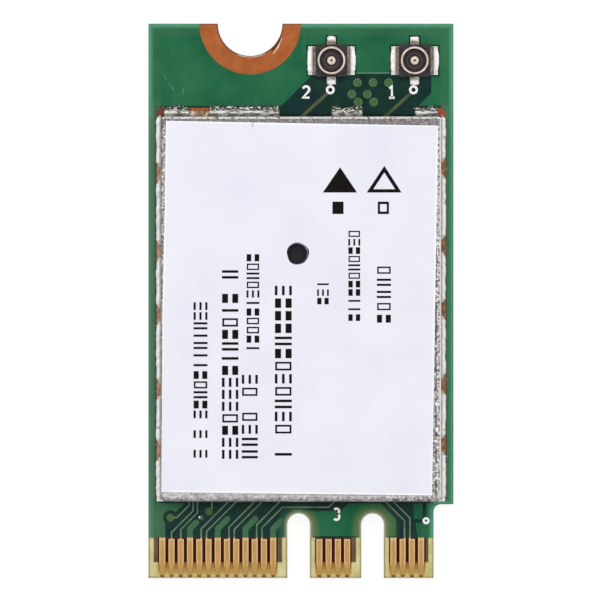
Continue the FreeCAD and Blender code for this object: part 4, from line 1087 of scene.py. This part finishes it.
def solder_beads(solder):
    """Beads along the can's walls and at the jacks' feet, the pools in its front corners, and stray balls."""
    tree = solder_bead_tree()
    can_low, can_high = (Vector(corner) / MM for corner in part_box("shield_can"))
    land_low, land_high = (Vector(corner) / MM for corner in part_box("shield_solder"))
    boxes = solids_of("shield_solder", above=POOL_HEIGHT)
    for low, high in boxes:
        low.z = land_low.z
        if low.y > can_high.y - END_ZONE:
            high.y = land_high.y
        elif low.x > 0:
            high.x = land_high.x
        else:
            low.x = land_low.x
        if low.y < can_high.y - CORNER_ZONE < high.y:
            high.y += CORNER_RUN
        elif low.y < can_low.y + CORNER_ZONE:
            low.y -= FRONT_RUN
    beads = beads_round(boxes, (can_low + can_high) / 2, tree, solder)
    relief = min(low.y for low, high in boxes) + FRONT_RUN - can_low.y
    for rim, wall in ((land_low.x, can_low.x), (land_high.x, can_high.x)):
        beads.append(solder_pool(rim, wall, can_low.y, relief, land_low.z))
    rows = [((low.x, high.y), (high.x, high.y)) for low, high in boxes if low.y > can_high.y - END_ZONE]
    outside = (land_low.x - SIDE_BALL_GAP, land_high.x + SIDE_BALL_GAP)
    sides = [((x, can_low.y + CORNER_ZONE), (x, can_high.y)) for x in outside]
    balls = solder_ball_tree()
    for runs, radius, step in ((rows, BALL_R, BALL_STEP), (sides, SIDE_BALL_R, SIDE_BALL_STEP)):
        beads.append(grown(lines_at(runs, COAT_TOP), balls, {
            "Radius": radius * MM, "Step": step * MM, "Drift": radius * 2 * MM, "Seed": BALL_SEED,
            "Finish": solder}))
    made = piece("shield_solder_beads", joined("shield_solder_beads", beads), solder)
    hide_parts("shield_solder")
    beads = []
    boxes = solids_of("jack_solder")
    for x, y in JACKS:
        own = [(low, high) for low, high in boxes if abs((low.x + high.x) / 2 - x) < JACK_REACH]
        beads += beads_round(own, Vector((x, y, 0.0)), tree, solder)
    made = piece("jack_solder_beads", joined("jack_solder_beads", beads), solder)
    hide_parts("jack_solder")


def plating_stubs(copper):
    """Remains of the leads that joined the contacts while they were plated."""
    points = []
    height = BOARD_FACE - BEVEL_DEPTH * (1 - STUB_Y / BEVEL_LENGTH)
    for first, last in TAB_SPANS:
        count = round((last - first) / PITCH) + 1
        points += [Vector((first + i * PITCH, STUB_Y, height)) * MM for i in range(count)]
    tips = bpy.data.meshes.new("tips")
    tips.from_pydata(points, [], [])
    stubs = grown(tips, plating_stub_tree(), {
        "Width": STUB_WIDTH * MM, "Length": STUB_LENGTH * MM, "Thickness": STUB_THICKNESS * MM,
        "Lean": math.atan2(BEVEL_DEPTH, BEVEL_LENGTH), "Seed": STUB_SEED, "Finish": copper})
    piece("plating_stubs", stubs, copper)


def seat_burr(copper):
    """A sliver of copper that the router tore up beside the screw seat."""
    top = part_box("screw_pad")[1][2] / MM
    mesh = band(BURR, BURR_WIDTHS, top - BURR_RISE / 2, top + BURR_RISE)
    piece("seat_burr", mesh, copper)


def via_spot(solder):
    """A speck of solder that stayed in the test via."""
    mesh = slab(circle(*SPOT_CENTRE, SPOT_R, SPOT_STEPS), COAT_TOP - SPOT_SINK, COAT_TOP + SPOT_RISE)
    piece("via_spot", mesh, solder)


def label_sheet(film):
    """The film on the can: its outline as it lies, and a hole punched a little out of round."""
    low, high = (Vector(corner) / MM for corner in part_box("label"))
    cx, cy = HOLE_CENTRE
    corners = [Vector((x - cx, y - cy)) for x, y in LABEL_CORNERS]
    turns = [math.atan2(c.y, c.x) for c in corners]
    turns += [i * math.tau / FILM_STEPS - math.pi for i in range(FILM_STEPS)]
    turns.sort()
    rim, inner, border = [], [], []
    for turn in turns:
        way = Vector((math.cos(turn), math.sin(turn)))
        wobble = 1 + sum(share * math.sin(waves * turn + first) for share, waves, first in HOLE_WOBBLE)
        reach = min(t for t in (ray_to(way, a, b) for a, b in zip(corners, corners[1:] + corners[:1])) if t)
        for loop, along in ((rim, HOLE_R * wobble), (inner, reach - LABEL_BORDER), (border, reach)):
            loop.append((cx + way.x * along, cy + way.y * along))
    mesh = ring_slab((rim, inner, border), low.z, high.z - INK)
    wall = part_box("shield_can")[0][0] / MM
    for vert in mesh.vertices:
        over = max(0.0, CAN_BEND_R - (vert.co.x / MM - wall))
        vert.co.z -= LABEL_SAG * (CAN_BEND_R - math.sqrt(CAN_BEND_R ** 2 - over ** 2)) * MM
    count = len(turns)
    shares = [0.0] * (2 * count) + [1.0] * count + [0.0] * count + [1.0] * count
    mesh.attributes.new("border", "FLOAT", "POINT").data.foreach_set("value", shares)
    made = piece("label_sheet", mesh, film)
    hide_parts("label")


def ray_to(way, a, b):
    """How far along a direction from the origin the segment from a to b lies, or None."""
    run = b - a
    cross = way.x * run.y - way.y * run.x
    if abs(cross) < NOTHING:
        return None
    along = (a.x * run.y - a.y * run.x) / cross
    share = (a.x * way.y - a.y * way.x) / cross
    return along if along > 0 and -NEAR <= share <= 1 + NEAR else None


def shrunk(outline, share):
    """An outline drawn in towards its middle."""
    middle = sum((Vector(p) for p in outline), Vector((0.0, 0.0))) / len(outline)
    return [tuple(middle + (Vector(p) - middle) * share) for p in outline]


def label_print(ink):
    """Rows of plain marks that run up the label, and a solid and an open triangle with a mark under each."""
    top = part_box("label")[1][2] / MM
    points, edges, heights = [], [], []
    for x, first, last, height in PRINT_ROWS:
        edges.append((len(points), len(points) + 1))
        points += [Vector((x + ROW_SHIFT, y, top - INK / 2)) * MM for y in (first, last)]
        heights += [height, height]
    rows = bpy.data.meshes.new("rows")
    rows.from_pydata(points, edges, [])
    rows.attributes.new("mark_height", "FLOAT", "POINT").data.foreach_set("value", heights)
    meshes = [grown(rows, print_row_tree(), {
        "Stroke": STROKE * MM, "Ink": INK * MM, "Seed": PRINT_SEED, "Finish": ink})]
    solid, hollow = [[(x0, y0), (x1, y0), (x1, y1), (x0, y1)] for x0, x1, y0, y1 in (SOLID_BLOCK, OPEN_BLOCK)]
    meshes += [slab(outline, top - INK, top) for outline in (SOLID_TRIANGLE, solid)]
    turned = OPEN_TRIANGLE[1:] + OPEN_TRIANGLE[:1]
    sides = [(Vector(b) - Vector(a)).length for a, b in zip(OPEN_TRIANGLE, turned)]
    base, tall = sides[1], OPEN_TRIANGLE[0][1] - OPEN_TRIANGLE[1][1]
    in_radius = base * tall / sum(sides)
    for outline, share in ((OPEN_TRIANGLE, 1 - TRIANGLE_STROKE / in_radius), (hollow, BLOCK_OPENING)):
        meshes.append(ring_slab((shrunk(outline, share), outline), top - INK, top))
    piece("label_print", joined("label_print", meshes), ink)


def label_hair(dust):
    """A short curled hair that lies on the label."""
    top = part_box("label")[1][2] / MM
    line = arc(*HAIR_CENTRE, HAIR_R, *HAIR_TURN)
    piece("label_hair", band(line, [HAIR_WIDTH] * len(line), top - INK, top), dust)


def number_strokes(number):
    """A plain number in a cell one unit high, as strokes."""
    if number == "1":
        return [[(-0.2, 0.28), (0.0, 0.46), (0.0, -0.46)], [(-0.22, -0.46), (0.22, -0.46)]]
    if number == "2":
        return [arc(0.0, 0.21, 0.25, 165, -35) + [(-0.24, -0.45), (0.28, -0.45)]]
    return [arc(0.0, 0.22, 0.22, 140, -100), arc(0.0, -0.22, 0.24, 100, -140)]


def silk_screen(ink):
    """White rings and plain numbers printed on the board."""
    meshes = []
    for x, y, radius in SILK_RINGS:
        loops = [circle(x, y, reach, RING_STEPS) for reach in (radius - SILK_STROKE, radius)]
        meshes.append(ring_slab(loops, MASK_TOP, SILK_TOP))
    for number, x, y in SILK_NUMBERS:
        for stroke in number_strokes(number):
            line = [(x + px * SILK_HEIGHT, y + py * SILK_HEIGHT) for px, py in stroke]
            meshes.append(band(line, [SILK_STROKE] * len(line), MASK_TOP, SILK_TOP))
    piece("silk_screen", joined("silk_screen", meshes), ink)


def table():
    """White table: white to the camera and in reflections, clear from below, with the card's soft shadow."""
    material = bpy.data.materials.new("white_table")
    material.use_nodes = True
    w = Wiring(material.node_tree)
    w.tree.nodes.clear()
    path = w.add("ShaderNodeLightPath").outputs
    seen = w.highest([path["Is Camera Ray"], path["Is Glossy Ray"], path["Is Transmission Ray"]])
    paper = w.add("ShaderNodeBsdfDiffuse", {"Color": grey(TABLE_GREY)}).outputs[0]
    glow = w.add("ShaderNodeEmission", {"Color": grey(1.0), "Strength": w.both(seen, TABLE_GLOW)})
    both = w.add("ShaderNodeAddShader", {0: paper, 1: glow.outputs[0]}).outputs[0]
    under = w.add("ShaderNodeNewGeometry").outputs["Backfacing"]
    clear = w.add("ShaderNodeBsdfTransparent").outputs[0]
    surface = w.add("ShaderNodeMixShader", {0: under, 1: both, 2: clear}).outputs[0]
    w.add("ShaderNodeOutputMaterial", {"Surface": surface})
    bottom = cad_box[0][2] / MM - TABLE_GAP
    corners = [(x * TABLE_HALF, y * TABLE_HALF, bottom) for x, y in ((-1, -1), (1, -1), (1, 1), (-1, 1))]
    mesh = mesh_of("table", corners, [(0, 1, 2, 3)])
    mesh.materials.append(material)
    made = bpy.data.objects.new("table", mesh)
    bpy.context.scene.collection.objects.link(made)


def light():
    """A bright dome, darker towards the horizon, and a soft lamp on either side, towards the screw end."""
    scene = bpy.context.scene
    world = bpy.data.worlds.new("studio")
    scene.world = world
    world.use_nodes = True
    w = Wiring(world.node_tree)
    way = w.add("ShaderNodeTexCoord").outputs["Generated"]
    height = w.add("ShaderNodeSeparateXYZ", {0: way}).outputs[2]
    ramp = w.add("ShaderNodeValToRGB", {"Fac": height})
    for element, (place, brightness) in zip(ramp.color_ramp.elements, (DOME_HORIZON, DOME_UPPER)):
        element.position = place
        element.color = grey(brightness)
    sky = w.tree.nodes["Background"]
    w.feed(sky.inputs["Color"], ramp.outputs["Color"])
    w.feed(sky.inputs["Strength"], DOME_STRENGTH)
    for name, place, power in LAMPS:
        lamp = bpy.data.lights.new(name, "AREA")
        lamp.shape = "DISK"
        lamp.size = LAMP_SIZE * MM
        lamp.energy = power
        box = bpy.data.objects.new(name, lamp)
        box.location = Vector(place) * MM
        aim = Vector((*VIEW_CENTRE, 0.0)) * MM - box.location
        box.rotation_euler = aim.to_track_quat("-Z", "Y").to_euler()
        scene.collection.objects.link(box)


def camera():
    scene = bpy.context.scene
    eye = bpy.data.cameras.new("photo_eye")
    eye.sensor_width = SENSOR
    eye.lens = SENSOR * VIEW_DISTANCE / VIEW_WIDTH
    made = bpy.data.objects.new("photo_eye", eye)
    made.location = Vector((*VIEW_CENTRE, VIEW_DISTANCE)) * MM
    scene.collection.objects.link(made)
    scene.camera = made


def main():
    bpy.context.scene.view_settings.view_transform = "Standard"
    camera()
    light()
    table()
    gold = contact_gold()
    solder = bright_solder()
    package = moulded_package()
    plating = jack_plating()
    moulding = black_moulding()
    pin = jack_pin_plating()
    coats = {"laminate": glass_epoxy(), "solder_mask_top": bare_mask(), "ground_pour_top": coated_copper(),
             "signal_traces_top": coated_trace(), "tented_vias_top": coated_via()}
    coats["solder_mask_bottom"] = coats["ground_pour_top"]
    metals = {"contacts_top": gold, "contacts_bottom": gold, "screw_pad": bare_copper(),
              "shield_pads": land_copper(), "shield_can": tinned_sheet(), "jack_pads": tinned_land(),
              "component_lands": solder, "chip_leads": solder, "part_ends": solder}
    inner = {"radio_chip": package, "antenna_switch": package, "front_end_module": package,
             "capacitors": ceramic("capacitor_ceramic", (150, 122, 92), (184, 152, 116), 0.5),
             "resistors": ceramic("resistor_ceramic", (26, 26, 30), (44, 44, 50), 0.3),
             "power_inductors": ceramic("inductor_ferrite", (62, 62, 66), (92, 92, 96), 0.5),
             "diplexers": ceramic("filter_ceramic", (176, 178, 172), (208, 210, 204), 0.45),
             "reference_crystal": ceramic("crystal_lid", (186, 176, 150), (214, 204, 180), 0.3)}
    for number in (1, 2):
        inner["jack_%d_base" % number] = moulding
        metals["jack_%d_shell" % number] = plating
        metals["jack_%d_pin" % number] = pin
    for node, material in {**coats, **metals, **inner}.items():
        dress(node, material)
    solder_beads(solder)
    plating_stubs(stub_copper())
    seat_burr(burr_copper())
    via_spot(solder)
    label_sheet(label_film())
    label_print(print_ink())
    label_hair(hair_dust())
    silk_screen(silk_ink())
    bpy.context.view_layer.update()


main()
